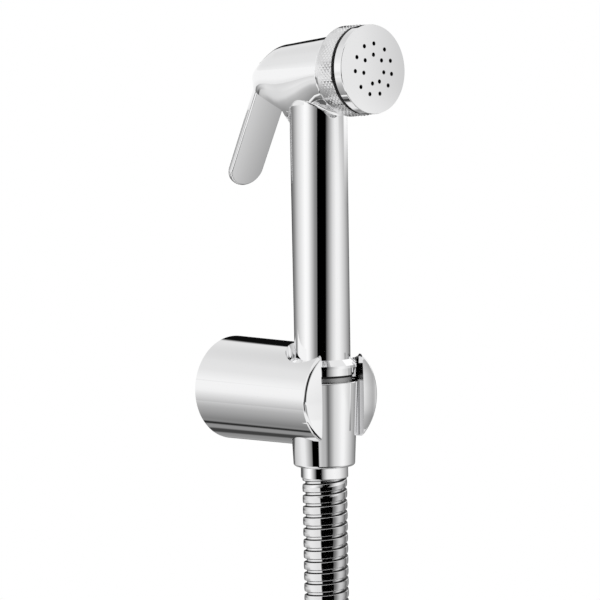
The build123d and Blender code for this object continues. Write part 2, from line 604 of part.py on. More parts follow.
# Coil: the length that is put away. It runs straight for one diameter, sways to the right in two
# equal arcs and winds into upright loops in line with the wall. Each lower half loop is an arc
# in a plane turned about the upright, so it climbs one layer nearer the wall, and the upper
# half loop stays in its layer.
COIL_RADIUS = 88.0
LAYER_STEP = 17.0
SWAY_RADIUS = 80.0
STRAIGHT_START = 2 * HOSE_RADIUS
STRAIGHT_END = 37.0
COIL_SIDES = 12
SWAY_TURN = acos(1 - COIL_RADIUS / (2 * SWAY_RADIUS))
SWAY_TOP = FREE_LOW - STRAIGHT_START
SWAY_DROP = 2 * SWAY_RADIUS * sin(SWAY_TURN)
COIL_HEIGHT = SWAY_TOP - SWAY_DROP
FRONT_LAYER = -WALL_TO_GRIP
REAR_LAYER = FRONT_LAYER + LAYER_STEP
TILTED_RADIUS = (COIL_RADIUS ** 2 + (LAYER_STEP / 2) ** 2) ** 0.5
CLIMB_TURN = atan2(LAYER_STEP / 2, COIL_RADIUS)


def sway_point(turn_angle, second=False):
    """A point of the sway: on its first arc, or counted back from its end on the second."""
    side = SWAY_RADIUS * (1 - cos(turn_angle))
    drop = SWAY_RADIUS * sin(turn_angle)
    if second:
        return (COIL_RADIUS - side, FRONT_LAYER, COIL_HEIGHT + drop)
    return (side, FRONT_LAYER, SWAY_TOP - drop)


def low_loop_point(turn_angle, layer):
    """A point of a lower half loop that starts on the right in a layer and ends one layer on."""
    across = TILTED_RADIUS * cos(turn_angle)
    return (across * cos(CLIMB_TURN), layer + LAYER_STEP / 2 - across * sin(CLIMB_TURN),
            COIL_HEIGHT - TILTED_RADIUS * sin(turn_angle))


def high_loop_point(turn_angle, layer):
    """A point of an upper half loop, from the left over the top to the right."""
    return (-COIL_RADIUS * cos(turn_angle), layer, COIL_HEIGHT + COIL_RADIUS * sin(turn_angle))


END_DIRECTION = Vector(-cos(CLIMB_TURN), sin(CLIMB_TURN), 0)
LOOP_END = Vector(*low_loop_point(pi / 2, REAR_LAYER))
COIL_END = LOOP_END + END_DIRECTION * STRAIGHT_END

with BuildLine() as coil_line:
    Line((0, FRONT_LAYER, FREE_LOW), (0, FRONT_LAYER, SWAY_TOP))
    ThreePointArc(sway_point(0), sway_point(SWAY_TURN / 2), sway_point(SWAY_TURN))
    ThreePointArc(sway_point(SWAY_TURN), sway_point(SWAY_TURN / 2, second=True), sway_point(0, second=True))
    ThreePointArc(low_loop_point(0, FRONT_LAYER), low_loop_point(pi / 2, FRONT_LAYER),
                  low_loop_point(pi, FRONT_LAYER))
    ThreePointArc(high_loop_point(0, REAR_LAYER), high_loop_point(pi / 2, REAR_LAYER),
                  high_loop_point(pi, REAR_LAYER))
    ThreePointArc(low_loop_point(0, REAR_LAYER), low_loop_point(pi / 4, REAR_LAYER),
                  low_loop_point(pi / 2, REAR_LAYER))
    Line(LOOP_END, COIL_END)

with BuildPart() as hose_coil:
    with BuildSketch(Plane(origin=(0, FRONT_LAYER, FREE_LOW), x_dir=(1, 0, 0), z_dir=(0, 0, -1))):
        RegularPolygon(radius=HOSE_RADIUS, side_count=COIL_SIDES)
    sweep(path=coil_line.line)
save(hose_coil.part, "hose_coil")

# Ferrule and tail, lower: the same crimped sleeve and flanged tube on the hose's far end
END_PLANE = Plane(origin=COIL_END, x_dir=(0, 0, 1), z_dir=END_DIRECTION)
END_AXIS = Axis(COIL_END, END_DIRECTION)
LOWER_FERRULE_LENGTH = 14.0
LOWER_TAIL_START = 3.0
LOWER_NECK_RADIUS = 6.0
LOWER_FLANGE_PLACE = 18.2
LOWER_FLANGE_END = 20.2
LOWER_FLANGE_RADIUS = 8.9


def turn_about_end(outline, mode=Mode.ADD):
    """Turns (radius, distance past the coil's end) points about the hose's far end."""
    section_plane = Plane(origin=COIL_END, x_dir=(0, 0, 1), z_dir=Vector(0, 0, 1).cross(END_DIRECTION))
    turn(section_plane, END_AXIS, outline, mode)


with BuildPart() as ferrule_lower:
    turn_about_end([(0, 0), (FERRULE_RADIUS, 0), (FERRULE_RADIUS, LOWER_FERRULE_LENGTH),
                    (TAIL_TUBE_RADIUS, LOWER_FERRULE_LENGTH), (TAIL_TUBE_RADIUS, LOWER_TAIL_START),
                    (0, LOWER_TAIL_START)])
save(ferrule_lower.part, "ferrule_lower")

with BuildPart() as hose_tail_lower:
    turn_about_end([(TAIL_BORE, LOWER_TAIL_START), (TAIL_TUBE_RADIUS, LOWER_TAIL_START),
                    (TAIL_TUBE_RADIUS, LOWER_FERRULE_LENGTH), (LOWER_NECK_RADIUS, LOWER_FERRULE_LENGTH),
                    (LOWER_NECK_RADIUS, LOWER_FLANGE_PLACE), (LOWER_FLANGE_RADIUS, LOWER_FLANGE_PLACE),
                    (LOWER_FLANGE_RADIUS, LOWER_FLANGE_END), (TAIL_BORE, LOWER_FLANGE_END)])
save(hose_tail_lower.part, "hose_tail_lower")

# Inlet nut: the free-turning hexagon nut that screws on the water outlet, and its washer
NUT_BACK = 15.0
NUT_BACK_WALL = 18.0
NUT_MOUTH = 31.0
NUT_ACROSS_FLATS = 24.0
INLET_THREAD_RADIUS = 9.4
INLET_RELIEF_RADIUS = 9.0
INLET_WASHER_END = 22.2
NECK_RUNNING_GAP = 0.1

with BuildPart() as inlet_nut:
    with BuildSketch(END_PLANE.offset(NUT_BACK)):
        RegularPolygon(radius=NUT_ACROSS_FLATS / 2, side_count=6, major_radius=False)
    extrude(amount=NUT_MOUTH - NUT_BACK)
    turn_about_end([(0, NUT_BACK), (LOWER_NECK_RADIUS + NECK_RUNNING_GAP, NUT_BACK),
                    (LOWER_NECK_RADIUS + NECK_RUNNING_GAP, NUT_BACK_WALL),
                    (INLET_RELIEF_RADIUS, NUT_BACK_WALL),
                    (INLET_RELIEF_RADIUS, INLET_WASHER_END), (INLET_THREAD_RADIUS, INLET_WASHER_END),
                    (INLET_THREAD_RADIUS, NUT_MOUTH), (0, NUT_MOUTH)], Mode.SUBTRACT)
save(inlet_nut.part, "inlet_nut")

with BuildPart() as inlet_washer:
    turn_about_end([(TAIL_TUBE_RADIUS, LOWER_FLANGE_END), (LOWER_FLANGE_RADIUS, LOWER_FLANGE_END),
                    (LOWER_FLANGE_RADIUS, INLET_WASHER_END), (TAIL_TUBE_RADIUS, INLET_WASHER_END)])
save(inlet_washer.part, "inlet_washer")

# Coil tie: a strap round the two passes of the coil on its lower right
TIE_TURN = radians(25)
TIE_THICKNESS = 1.4
TIE_WIDTH = 6.0
TIE_CLEARANCE = 0.1
first_pass = Vector(*low_loop_point(TIE_TURN, FRONT_LAYER))
second_pass = Vector(*low_loop_point(TIE_TURN, REAR_LAYER))
tie_direction = Vector(-sin(TIE_TURN), 0, -cos(TIE_TURN))
TIE_PLANE = Plane(origin=(first_pass + second_pass) * 0.5, x_dir=(0, 1, 0), z_dir=tie_direction)

with BuildPart() as coil_tie:
    with BuildSketch(TIE_PLANE.offset(-TIE_WIDTH / 2)):
        SlotCenterToCenter(LAYER_STEP, 2 * (HOSE_RADIUS + TIE_CLEARANCE + TIE_THICKNESS))
        SlotCenterToCenter(LAYER_STEP, 2 * (HOSE_RADIUS + TIE_CLEARANCE), mode=Mode.SUBTRACT)
    extrude(amount=TIE_WIDTH)
save(coil_tie.part, "coil_tie")

# The hose's length and bends, and how near the coil comes to itself
coil_wire = coil_line.wires()[0]
coil_length = coil_wire.length
section_area = COIL_SIDES / 2 * HOSE_RADIUS ** 2 * sin(2 * pi / COIL_SIDES)
print(f"hose between ferrules {FERRULE_LOW - FREE_LOW + coil_length:.1f} mm, "
      f"coil volume over section times length {hose_coil.part.volume / (section_area * coil_length):.4f}")
print(f"bend radii {SWAY_RADIUS:.1f}, {TILTED_RADIUS:.1f}, {COIL_RADIUS:.1f} mm, "
      f"sway turns {degrees(SWAY_TURN):.1f} degrees")
SAMPLES = 500
samples = [coil_wire @ (i / SAMPLES) for i in range(SAMPLES + 1)]
apart = int(4 * HOSE_RADIUS / coil_length * SAMPLES)
least = min((samples[i] - samples[j]).length for i in range(SAMPLES) for j in range(i + apart, SAMPLES + 1))
print(f"least gap of the coil to itself {least - 2 * HOSE_RADIUS:.2f} mm")
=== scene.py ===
# Health faucet: a hand-held spray in a drum-shaped wall holder, with its metal hose put away in
# a coil. The wall is the plane Y = 0 and Z is up. The studio's sizes are metres, and the pieces'
# sizes are millimetres times MM.
from math import acos, atan2, ceil, cos, degrees, pi, radians, sin, tan

import bmesh
import bpy
import numpy as np
from mathutils import Matrix, Vector


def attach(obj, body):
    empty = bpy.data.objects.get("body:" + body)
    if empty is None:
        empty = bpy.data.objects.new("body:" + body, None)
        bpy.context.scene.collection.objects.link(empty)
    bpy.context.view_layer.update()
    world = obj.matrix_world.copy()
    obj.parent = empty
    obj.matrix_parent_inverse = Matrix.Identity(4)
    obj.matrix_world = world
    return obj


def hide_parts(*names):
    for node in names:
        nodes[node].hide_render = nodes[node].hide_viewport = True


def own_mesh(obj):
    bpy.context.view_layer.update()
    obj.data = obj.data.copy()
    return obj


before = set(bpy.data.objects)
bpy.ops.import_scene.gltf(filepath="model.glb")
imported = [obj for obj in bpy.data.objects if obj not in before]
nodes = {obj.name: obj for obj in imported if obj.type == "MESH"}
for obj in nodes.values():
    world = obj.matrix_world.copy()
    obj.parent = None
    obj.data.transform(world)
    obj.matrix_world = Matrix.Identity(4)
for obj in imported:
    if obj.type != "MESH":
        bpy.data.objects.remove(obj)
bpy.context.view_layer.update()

# Camera: a long lens, a little above the grip, 42 degrees to the left of square on.
CAMERA_AZIMUTH = radians(-42.3)
CAMERA_ELEVATION = radians(3.32)
CAMERA_ROLL = radians(-1.04)
CAMERA_DISTANCE = 0.6685
CAMERA_TARGET = Vector((-0.00563, -0.04318, 0.03405))


def scene_object(name, data):
    """An object of the scene that shows a mesh, a curve or a camera."""
    piece = bpy.data.objects.new(name, data)
    bpy.context.scene.collection.objects.link(piece)
    return piece


to_camera = Vector((sin(CAMERA_AZIMUTH) * cos(CAMERA_ELEVATION),
                    -cos(CAMERA_AZIMUTH) * cos(CAMERA_ELEVATION), sin(CAMERA_ELEVATION)))
level_right = Vector((cos(CAMERA_AZIMUTH), sin(CAMERA_AZIMUTH), 0))
level_up = to_camera.cross(level_right)
picture_right = level_right * cos(CAMERA_ROLL) + level_up * sin(CAMERA_ROLL)
picture_up = level_up * cos(CAMERA_ROLL) - level_right * sin(CAMERA_ROLL)
camera_place = CAMERA_TARGET + to_camera * CAMERA_DISTANCE
camera = scene_object("camera", bpy.data.cameras.new("camera"))
camera.data.lens = 113.5
camera.data.sensor_width = 36
camera.data.clip_start = 0.05
camera.matrix_world = Matrix((
    (picture_right.x, picture_up.x, to_camera.x, camera_place.x),
    (picture_right.y, picture_up.y, to_camera.y, camera_place.y),
    (picture_right.z, picture_up.z, to_camera.z, camera_place.z),
    (0, 0, 0, 1)))
bpy.context.scene.camera = camera
bpy.context.scene.view_settings.view_transform = "Standard"

# Light tent: a round white cloth wall under a bright top. It is bright left and right of the
# camera and dark between, and it makes the whole look, because chrome shows only its surroundings.
TENT_RADIUS = 2.0
TENT_HALF_HEIGHT = 2.1
TENT_MIDDLE = Vector((0, -0.0483, 0))
TENT_SIDES = 96
TENT_GAIN = 1.08
TOP_BRIGHTNESS = 0.85
STRIP_LEAN = 45.0
STRIP_REACH = 0.22


def new_material(name):
    """A material with an empty tree, and its output node."""
    material = bpy.data.materials.new(name)
    material.use_nodes = True
    material.node_tree.nodes.clear()
    return material, material.node_tree.nodes.new("ShaderNodeOutputMaterial")


def add_node(tree, kind, inputs=(), **settings):
    """A node with its settings, and with its inputs linked to sockets or given values."""
    node = tree.nodes.new(kind)
    for name, value in settings.items():
        setattr(node, name, value)
    for place, value in inputs:
        if hasattr(value, "links"):
            tree.links.new(value, node.inputs[place])
        else:
            node.inputs[place].default_value = value
    return node


def calculate(tree, operation, *values):
    """The output of a Math node whose inputs are numbers or sockets."""
    return add_node(tree, "ShaderNodeMath", enumerate(values), operation=operation).outputs[0]


def lit_cloth(name):
    """A cloth that glows: the material, its tree, the turn in degrees round from the camera to the
    right and the height in metres of the place that is lit, and the socket for its brightness."""
    material, out = new_material(name)
    tree = material.node_tree
    place = add_node(tree, "ShaderNodeTexCoord").outputs["Object"]
    from_middle = add_node(tree, "ShaderNodeVectorMath", [(0, place), (1, TENT_MIDDLE)],
                           operation="SUBTRACT")
    reach = []
    for direction in ((level_right.x, level_right.y, 0), (to_camera.x, to_camera.y, 0), (0, 0, 1)):
        dot = add_node(tree, "ShaderNodeVectorMath", [(0, from_middle.outputs[0]), (1, direction)],
                       operation="DOT_PRODUCT")
        reach.append(dot.outputs["Value"])
    turn = calculate(tree, "DEGREES", calculate(tree, "ARCTAN2", reach[0], reach[1]))
    glow = add_node(tree, "ShaderNodeEmission", [("Strength", TENT_GAIN)])
    tree.links.new(glow.outputs[0], out.inputs["Surface"])
    return material, tree, turn, reach[2], glow.inputs["Color"]


def brightness_along(tree, value, stops, blend="EASE"):
    """Brightness that passes through (value, brightness) stops."""
    low, high = stops[0][0], stops[-1][0]
    span = add_node(tree, "ShaderNodeMapRange", [("Value", value), ("From Min", low), ("From Max", high)])
    ramp = add_node(tree, "ShaderNodeValToRGB", [("Fac", span.outputs["Result"])])
    ramp.color_ramp.interpolation = blend
    elements = ramp.color_ramp.elements
    while len(elements) < len(stops):
        elements.new(1.0)
    for element, (place, level) in zip(elements, stops):
        element.position = (place - low) / (high - low)
        element.color = (level, level, level, 1)
    return ramp.outputs["Color"]


def cloth_patch(tree, turn, height, by_turn, by_height, turn_blend="EASE", height_blend="EASE"):
    """Stops round the turn times stops up the height: a patch of the cloth and its soft edges."""
    return calculate(tree, "MULTIPLY", brightness_along(tree, turn, by_turn, turn_blend),
                     brightness_along(tree, height, by_height, height_blend))


def pass_over(tree, factor, first, second):
    """The first brightness where the factor is 0 and the second where it is 1."""
    mix = add_node(tree, "ShaderNodeMix", [(0, factor), (6, first), (7, second)], data_type="RGBA")
    return mix.outputs[2]


def studio_piece(name, places, faces, material):
    """A light or a surface of the studio. The callers hide the lights from the camera."""
    mesh = bpy.data.meshes.new(name)
    mesh.from_pydata(places, [], faces)
    mesh.materials.append(material)
    piece = scene_object(name, mesh)
    return piece


def screen(name, line, low, top, material):
    """An upright screen along a line of (x, y) places, which only mirrors see."""
    count = len(line)
    piece = studio_piece(name, [(x, y, z) for z in (low, top) for x, y in line],
                         [(i, count + i, count + i + 1, i + 1) for i in range(count - 1)], material)
    piece.visible_camera = False
    piece.visible_shadow = False
    piece.visible_diffuse = False
    return piece


def round_the_grip(radius, first_turn, last_turn):
    """Places on an arc round the grip, from one turn to the other."""
    ahead = atan2(to_camera.y, to_camera.x)
    angles = [ahead + radians(first_turn + (last_turn - first_turn) * i / 48) for i in range(49)]
    return [(TENT_MIDDLE.x + radius * cos(angle), TENT_MIDDLE.y + radius * sin(angle)) for angle in angles]


tent_cloth, tree, turn, height, tent_level = lit_cloth("tent_cloth")
# What the grip shows leans a little: its dark strip runs to the right on its way up
near_level = calculate(tree, "MINIMUM", calculate(tree, "MAXIMUM", height, -STRIP_REACH), STRIP_REACH)
grip_turn = calculate(tree, "MULTIPLY_ADD", near_level, -STRIP_LEAN, turn)
by_grip = brightness_along(tree, grip_turn, [
    (-190, 0.02), (-166, 0.02), (-152, 0.15), (-131, 0.26), (-100, 0.66), (-66, 0.965), (-58, 0.94),
    (-50, 0.87), (-24, 0.27), (-14.5, 0.18), (-13.5, 0), (21, 0), (22.5, 0.07), (33, 0.31), (50, 0.68),
    (66, 0.88), (80, 0.87), (134, 0.35), (165, 0.1), (190, 0.1)], "LINEAR")
by_ferrule = brightness_along(tree, turn, [
    (-180, 0.05), (-137, 0.1), (-112, 0.58), (-98, 0.82), (-84, 0.99), (-73, 0.95), (-43, 0.09),
    (-41, 0), (-16, 0), (-12, 0.14), (10, 0.75), (20, 0.83), (48, 0.9), (76, 0.84), (112, 0.5),
    (150, 0.2), (180, 0.15)], "LINEAR")
by_nut = brightness_along(tree, turn, [
    (-180, 0.1), (-150, 0.13), (-136, 0.5), (-108, 0.68), (-90, 0.82), (-76, 0.82), (-46, 0.22),
    (-44.5, 0), (-20.5, 0), (-19, 0.65), (-6, 0.48), (4, 0.45), (15, 0.12), (38, 0.64), (66, 0.9),
    (76, 0.9), (128, 0.35), (180, 0.1)], "LINEAR")
wall_level = pass_over(tree, brightness_along(tree, height, [(-0.37, 0), (-0.35, 1)]), by_nut, by_ferrule)
wall_level = pass_over(tree, brightness_along(tree, height, [(-0.27, 0), (-0.23, 1)]), wall_level, by_grip)
# To the left and behind, above and below the grip's view, the cloth fades upwards and more downwards
far_left = cloth_patch(tree, turn, height, [(-180, 1), (-96, 1), (-80, 0), (180, 0)],
                       [(-2.1, 1), (-0.75, 1), (-0.5, 0), (0.3, 0), (0.45, 1), (2.1, 1)])
up_and_down = brightness_along(tree, height, [
    (-2.1, 0.33), (-1.6, 0.38), (-1.0, 0.47), (-0.85, 0.53), (-0.6, 0.66), (0.2, 0.9), (0.45, 0.89),
    (1.0, 0.77), (1.5, 0.75), (2.1, 0.64)], "LINEAR")
low_behind = cloth_patch(tree, turn, height, [(-180, 1), (-120, 1), (-96, 0), (180, 0)],
                         [(-2.1, 0.4), (-0.5, 0.4), (-0.2, 0), (2.1, 0)], turn_blend="LINEAR")
up_and_down = calculate(tree, "MULTIPLY", up_and_down, calculate(tree, "SUBTRACT", 1.0, low_behind))
wall_level = pass_over(tree, far_left, wall_level, up_and_down)
# Two dark seams low on the left
low_left = cloth_patch(tree, turn, height, [(-180, 1), (-126, 1), (-122, 0), (180, 0)],
                       [(-2.1, 1), (-1.4, 1), (-1.2, 0), (2.1, 0)])
seams = brightness_along(tree, turn, [
    (-180, 0.2), (-163, 0.25), (-157, 0.05), (-150, 0.05), (-144, 0.27), (-137, 0.27), (-132.5, 0.02),
    (-130.5, 0.02), (-126, 0.24), (-120, 0.24)])
wall_level = pass_over(tree, low_left, wall_level, seams)
# Low in front and on the right, what the lever shows; above the grip's view, what the face and the
# collar show
by_lever = cloth_patch(tree, turn, height, [(-180, 0), (-92, 0), (-84, 1), (180, 1)],
                       [(-2.1, 1), (-1.1, 1), (-0.8, 0), (2.1, 0)])
lever_view = brightness_along(tree, turn, [
    (-95, 0.85), (60, 0.85), (88, 0.61), (98, 0.49), (108, 0.38), (150, 0.25)], "LINEAR")
wall_level = pass_over(tree, by_lever, wall_level, lever_view)
by_face = cloth_patch(tree, turn, height, [(-180, 0), (60, 0), (72, 1), (180, 1)],
                      [(-2.1, 0), (0.04, 0), (0.2, 1), (2.1, 1)])
face_view = brightness_along(tree, turn, [
    (60, 0.85), (81, 0.8), (85, 0.78), (90, 0.6), (116, 0.45), (126, 1), (180, 1)], "LINEAR")
wall_level = pass_over(tree, by_face, wall_level, face_view)
# A black card right behind, that darkens the upper edges of the barrel and the drum
card_colour = add_node(tree, "ShaderNodeRGB")
card_colour.outputs[0].default_value = (0.004, 0.004, 0.004, 1)
black_card = cloth_patch(tree, calculate(tree, "ABSOLUTE", turn), height,
                         [(0, 0), (165, 0), (170, 1), (180, 1)],
                         [(-2.1, 0), (0.0, 0), (0.05, 1), (1.2, 1), (1.3, 0), (2.1, 0)])
wall_level = pass_over(tree, black_card, wall_level, card_colour.outputs[0])
tree.links.new(wall_level, tent_level)
tent_ring = [(TENT_MIDDLE.x + TENT_RADIUS * cos(2 * pi * i / TENT_SIDES),
              TENT_MIDDLE.y + TENT_RADIUS * sin(2 * pi * i / TENT_SIDES)) for i in range(TENT_SIDES)]
tent = studio_piece(
    "light_tent", [(x, y, z) for z in (-TENT_HALF_HEIGHT, TENT_HALF_HEIGHT) for x, y in tent_ring],
    [(i, TENT_SIDES + i, TENT_SIDES + (i + 1) % TENT_SIDES, (i + 1) % TENT_SIDES)
     for i in range(TENT_SIDES)], tent_cloth)
tent.visible_camera = False
tent.visible_shadow = False

top_cloth, top_out = new_material("top_cloth")
top_glow = add_node(top_cloth.node_tree, "ShaderNodeEmission", [
    ("Color", (TOP_BRIGHTNESS, TOP_BRIGHTNESS, TOP_BRIGHTNESS, 1))])
top_cloth.node_tree.links.new(top_glow.outputs[0], top_out.inputs["Surface"])
tent_top = studio_piece("tent_top", [(x, y, TENT_HALF_HEIGHT) for x, y in tent_ring],
                        [tuple(range(TENT_SIDES))], top_cloth)
tent_top.visible_camera = False
tent_top.visible_shadow = False

# Screens: four small ones, each so near to one piece that hardly another shows it. One is bent
# round in front of the hose, one round behind the head, and two stand flat, left of the drum for
# its side and right of it for the right-hand lip of its front.
HOSE_SCREEN_RADIUS = 0.04
HEAD_SCREEN_RADIUS = 0.07
hose_cloth, tree, turn, height, hose_level = lit_cloth("hose_cloth")
tree.links.new(brightness_along(tree, turn, [
    (-86, 0.8), (-75, 0.82), (-26, 0.74), (-21, 0), (33, 0), (37, 0.14), (70, 0.58),
    (118, 0.12)]), hose_level)
screen("hose_screen", round_the_grip(HOSE_SCREEN_RADIUS, -86, 118), -0.09, -0.0345, hose_cloth)
head_cloth, tree, turn, height, head_level = lit_cloth("head_cloth")
tree.links.new(brightness_along(tree, height, [(0.105, 0.8), (0.113, 0.9), (0.13, 0.9)]), head_level)
screen("head_screen", round_the_grip(HEAD_SCREEN_RADIUS, -185, -55), 0.105, 0.13, head_cloth)
drum_cloth, tree, turn, height, drum_level = lit_cloth("drum_cloth")
tree.links.new(brightness_along(tree, height, [
    (-0.021, 0.5), (-0.0083, 0.73), (-0.002, 0.86), (0.003, 0.89), (0.0135, 0.895)], "LINEAR"), drum_level)
screen("drum_screen", [(-0.05, -0.034), (-0.05, 0.09)], -0.021, 0.0135, drum_cloth)
lip_cloth, tree, turn, height, lip_level = lit_cloth("lip_cloth")
tree.links.new(cloth_patch(
    tree, turn, height,
    [(88.3, 0.85), (89.7, 0.83), (91.6, 0.72), (93.6, 0.6), (95.3, 0.5), (96.9, 0.43), (98.7, 0.55)],
    [(-0.018, 0.5), (-0.0123, 0.65), (-0.0095, 0.85), (-0.007, 0.95), (0, 1), (0.0059, 0.9), (0.0085, 0.75),
     (0.0125, 0.6)], turn_blend="LINEAR", height_blend="LINEAR"), lip_level)
screen("lip_screen", [(0.0297, -0.077), (0.0343, -0.0711)], -0.018, 0.0125, lip_cloth)

# Floor and backdrop: a plain pale disc well below the coil, and plain white all round, which
# only the camera sees.
FLOOR_HEIGHT = -1.0
FLOOR_SHARE = 0.4
floor_paint, floor_out = new_material("floor_paint")
floor_shader = add_node(floor_paint.node_tree, "ShaderNodeBsdfPrincipled", [
    ("Base Color", (0.8, 0.8, 0.8, 1)), ("Roughness", 0.6)])
floor_paint.node_tree.links.new(floor_shader.outputs[0], floor_out.inputs["Surface"])
studio_piece("floor", [(FLOOR_SHARE * x, FLOOR_SHARE * y, FLOOR_HEIGHT) for x, y in tent_ring],
             [tuple(range(TENT_SIDES))], floor_paint)

DIM_ROOM = 0.12
world = bpy.data.worlds.new("studio")
world.use_nodes = True
sky = world.node_tree
seen = add_node(sky, "ShaderNodeLightPath").outputs["Is Camera Ray"]
backdrop = sky.nodes["Background"]
backdrop.inputs["Color"].default_value = (1, 1, 1, 1)
sky.links.new(calculate(sky, "MULTIPLY_ADD", seen, 1 - DIM_ROOM, DIM_ROOM), backdrop.inputs["Strength"])
bpy.context.scene.world = world

# Wall plate: a shallow zinc-plated steel cup, pressed and screwed to the wall through two
# countersunk holes. The holder hides it.


def plain_metal(name, colour, roughness, grain):
    """Machined or pressed metal: fine uneven tool marks in its gloss and surface."""
    material, out = new_material(name)
    tree = material.node_tree
    coordinates = add_node(tree, "ShaderNodeTexCoord").outputs["Object"]
    marks = add_node(tree, "ShaderNodeTexNoise", [
        ("Vector", coordinates), ("Scale", grain), ("Detail", 4.0)])
    marks = marks.outputs["Fac"]
    tint = add_node(tree, "ShaderNodeMix", [
        (0, marks), (6, (*(0.85 * c for c in colour), 1)), (7, (*colour, 1))], data_type="RGBA")
    gloss = add_node(tree, "ShaderNodeMapRange", [
        ("Value", marks), ("To Min", roughness * 0.7), ("To Max", roughness * 1.3)])
    bump = add_node(tree, "ShaderNodeBump", [("Height", marks), ("Distance", 0.00002)])
    shader = add_node(tree, "ShaderNodeBsdfPrincipled", [
        ("Base Color", tint.outputs[2]), ("Metallic", 1.0), ("Roughness", gloss.outputs["Result"]),
        ("Normal", bump.outputs["Normal"])])
    tree.links.new(shader.outputs[0], out.inputs["Surface"])
    return material


def paint_nodes(material, *names):
    """Gives CAD pieces that are shown as they are their finish."""
    for name in names:
        nodes[name].material_slots[0].link = "OBJECT"
        nodes[name].material_slots[0].material = material


steel = plain_metal("steel", (0.72, 0.72, 0.71), 0.32, 900.0)
paint_nodes(steel, "wall_plate", "grub_screw", "lever_pin", "stem_clip")

# Holder: a short polished drum that stands out from the wall. It is turned from brass, bored
# for the hose nut, slotted in front, polished and chromed, and a grub screw locks it.
MM = 0.001
HOLDER_WALL_RADIUS = 19.1
HOLDER_FRONT_RADIUS = 17.8
HOLDER_LENGTH = 58.0
HOLDER_DOME = 0.8
WALL_TO_GRIP = 48.3
OVAL_NEAR = 0.12


def chrome_plate(name, colour, roughness, ripple, ripple_size):
    """Chrome: a mirror with the slight unevenness of hand polishing, in its gloss and surface."""
    material, out = new_material(name)
    tree = material.node_tree
    coordinates = add_node(tree, "ShaderNodeTexCoord").outputs["Object"]
    polish = add_node(tree, "ShaderNodeTexNoise", [
        ("Vector", coordinates), ("Scale", 45.0), ("Detail", 3.0)])
    gloss = add_node(tree, "ShaderNodeMapRange", [
        ("Value", polish.outputs["Fac"]), ("From Min", 0.3), ("From Max", 0.7),
        ("To Min", roughness * 0.7), ("To Max", roughness * 1.3)])
    waves = add_node(tree, "ShaderNodeTexNoise", [
        ("Vector", coordinates), ("Scale", ripple_size), ("Detail", 1.0)])
    bump = add_node(tree, "ShaderNodeBump", [
        ("Height", waves.outputs["Fac"]), ("Strength", 1.0), ("Distance", ripple)])
    shader = add_node(tree, "ShaderNodeBsdfPrincipled", [
        ("Base Color", (*colour, 1)), ("Metallic", 1.0), ("Roughness", gloss.outputs["Result"]),
        ("Normal", bump.outputs["Normal"])])
    tree.links.new(shader.outputs[0], out.inputs["Surface"])
    return material


def lathe_outline(corners, closed=True):
    """The straight and rounded stretches of an outline with (radius, place, rounding) corners, each
    as (start, start normal, end, end normal). Normals point to the right of the way round."""
    points = [np.array(corner[:2], float) for corner in corners]
    last = len(points) - 1
    stretches = []
    bends = []
    for i, (point, corner) in enumerate(zip(points, corners)):
        rounding = corner[2] if len(corner) > 2 else 0
        if not rounding or (not closed and i in (0, last)):
            bends.append(([point], None, 1))
            continue
        before = points[i - 1] - point
        after = points[(i + 1) % len(points)] - point
        before = before / np.linalg.norm(before)
        after = after / np.linalg.norm(after)
        half = acos(max(-1.0, min(1.0, float(before @ after)))) / 2
        reach = rounding / tan(half)
        middle = point + (before + after) / np.linalg.norm(before + after) * rounding / sin(half)
        start = point + before * reach - middle
        end = point + after * reach - middle
        first = atan2(start[1], start[0])
        sweep = (atan2(end[1], end[0]) - first + pi) % (2 * pi) - pi
        steps = max(3, ceil(abs(degrees(sweep)) / 9))
        arc = [middle + rounding * np.array((cos(first + sweep * k / steps), sin(first + sweep * k / steps)))
               for k in range(steps + 1)]
        bends.append((arc, middle, 1 if sweep > 0 else -1))
    for i, (arc, middle, side) in enumerate(bends):
        for a, b in zip(arc, arc[1:]):
            stretches.append((a, (a - middle) * side, b, (b - middle) * side))
        if not closed and i == last:
            break
        a, b = arc[-1], bends[(i + 1) % len(bends)][0][0]
        if np.linalg.norm(b - a) > 1e-9:
            normal = np.array(((b - a)[1], -(b - a)[0]))
            stretches.append((a, normal, b, normal))
    return [(a, na / np.linalg.norm(na), b, nb / np.linalg.norm(nb)) for a, na, b, nb in stretches]


def axes_for(axis):
    """Two directions square to an axis and to each other."""
    axis = Vector(axis).normalized()
    across = Vector((1, 0, 0)) if abs(axis.x) < 0.5 else Vector((0, 0, 1))
    across = (across - axis * across.dot(axis)).normalized()
    return axis, across, axis.cross(across)


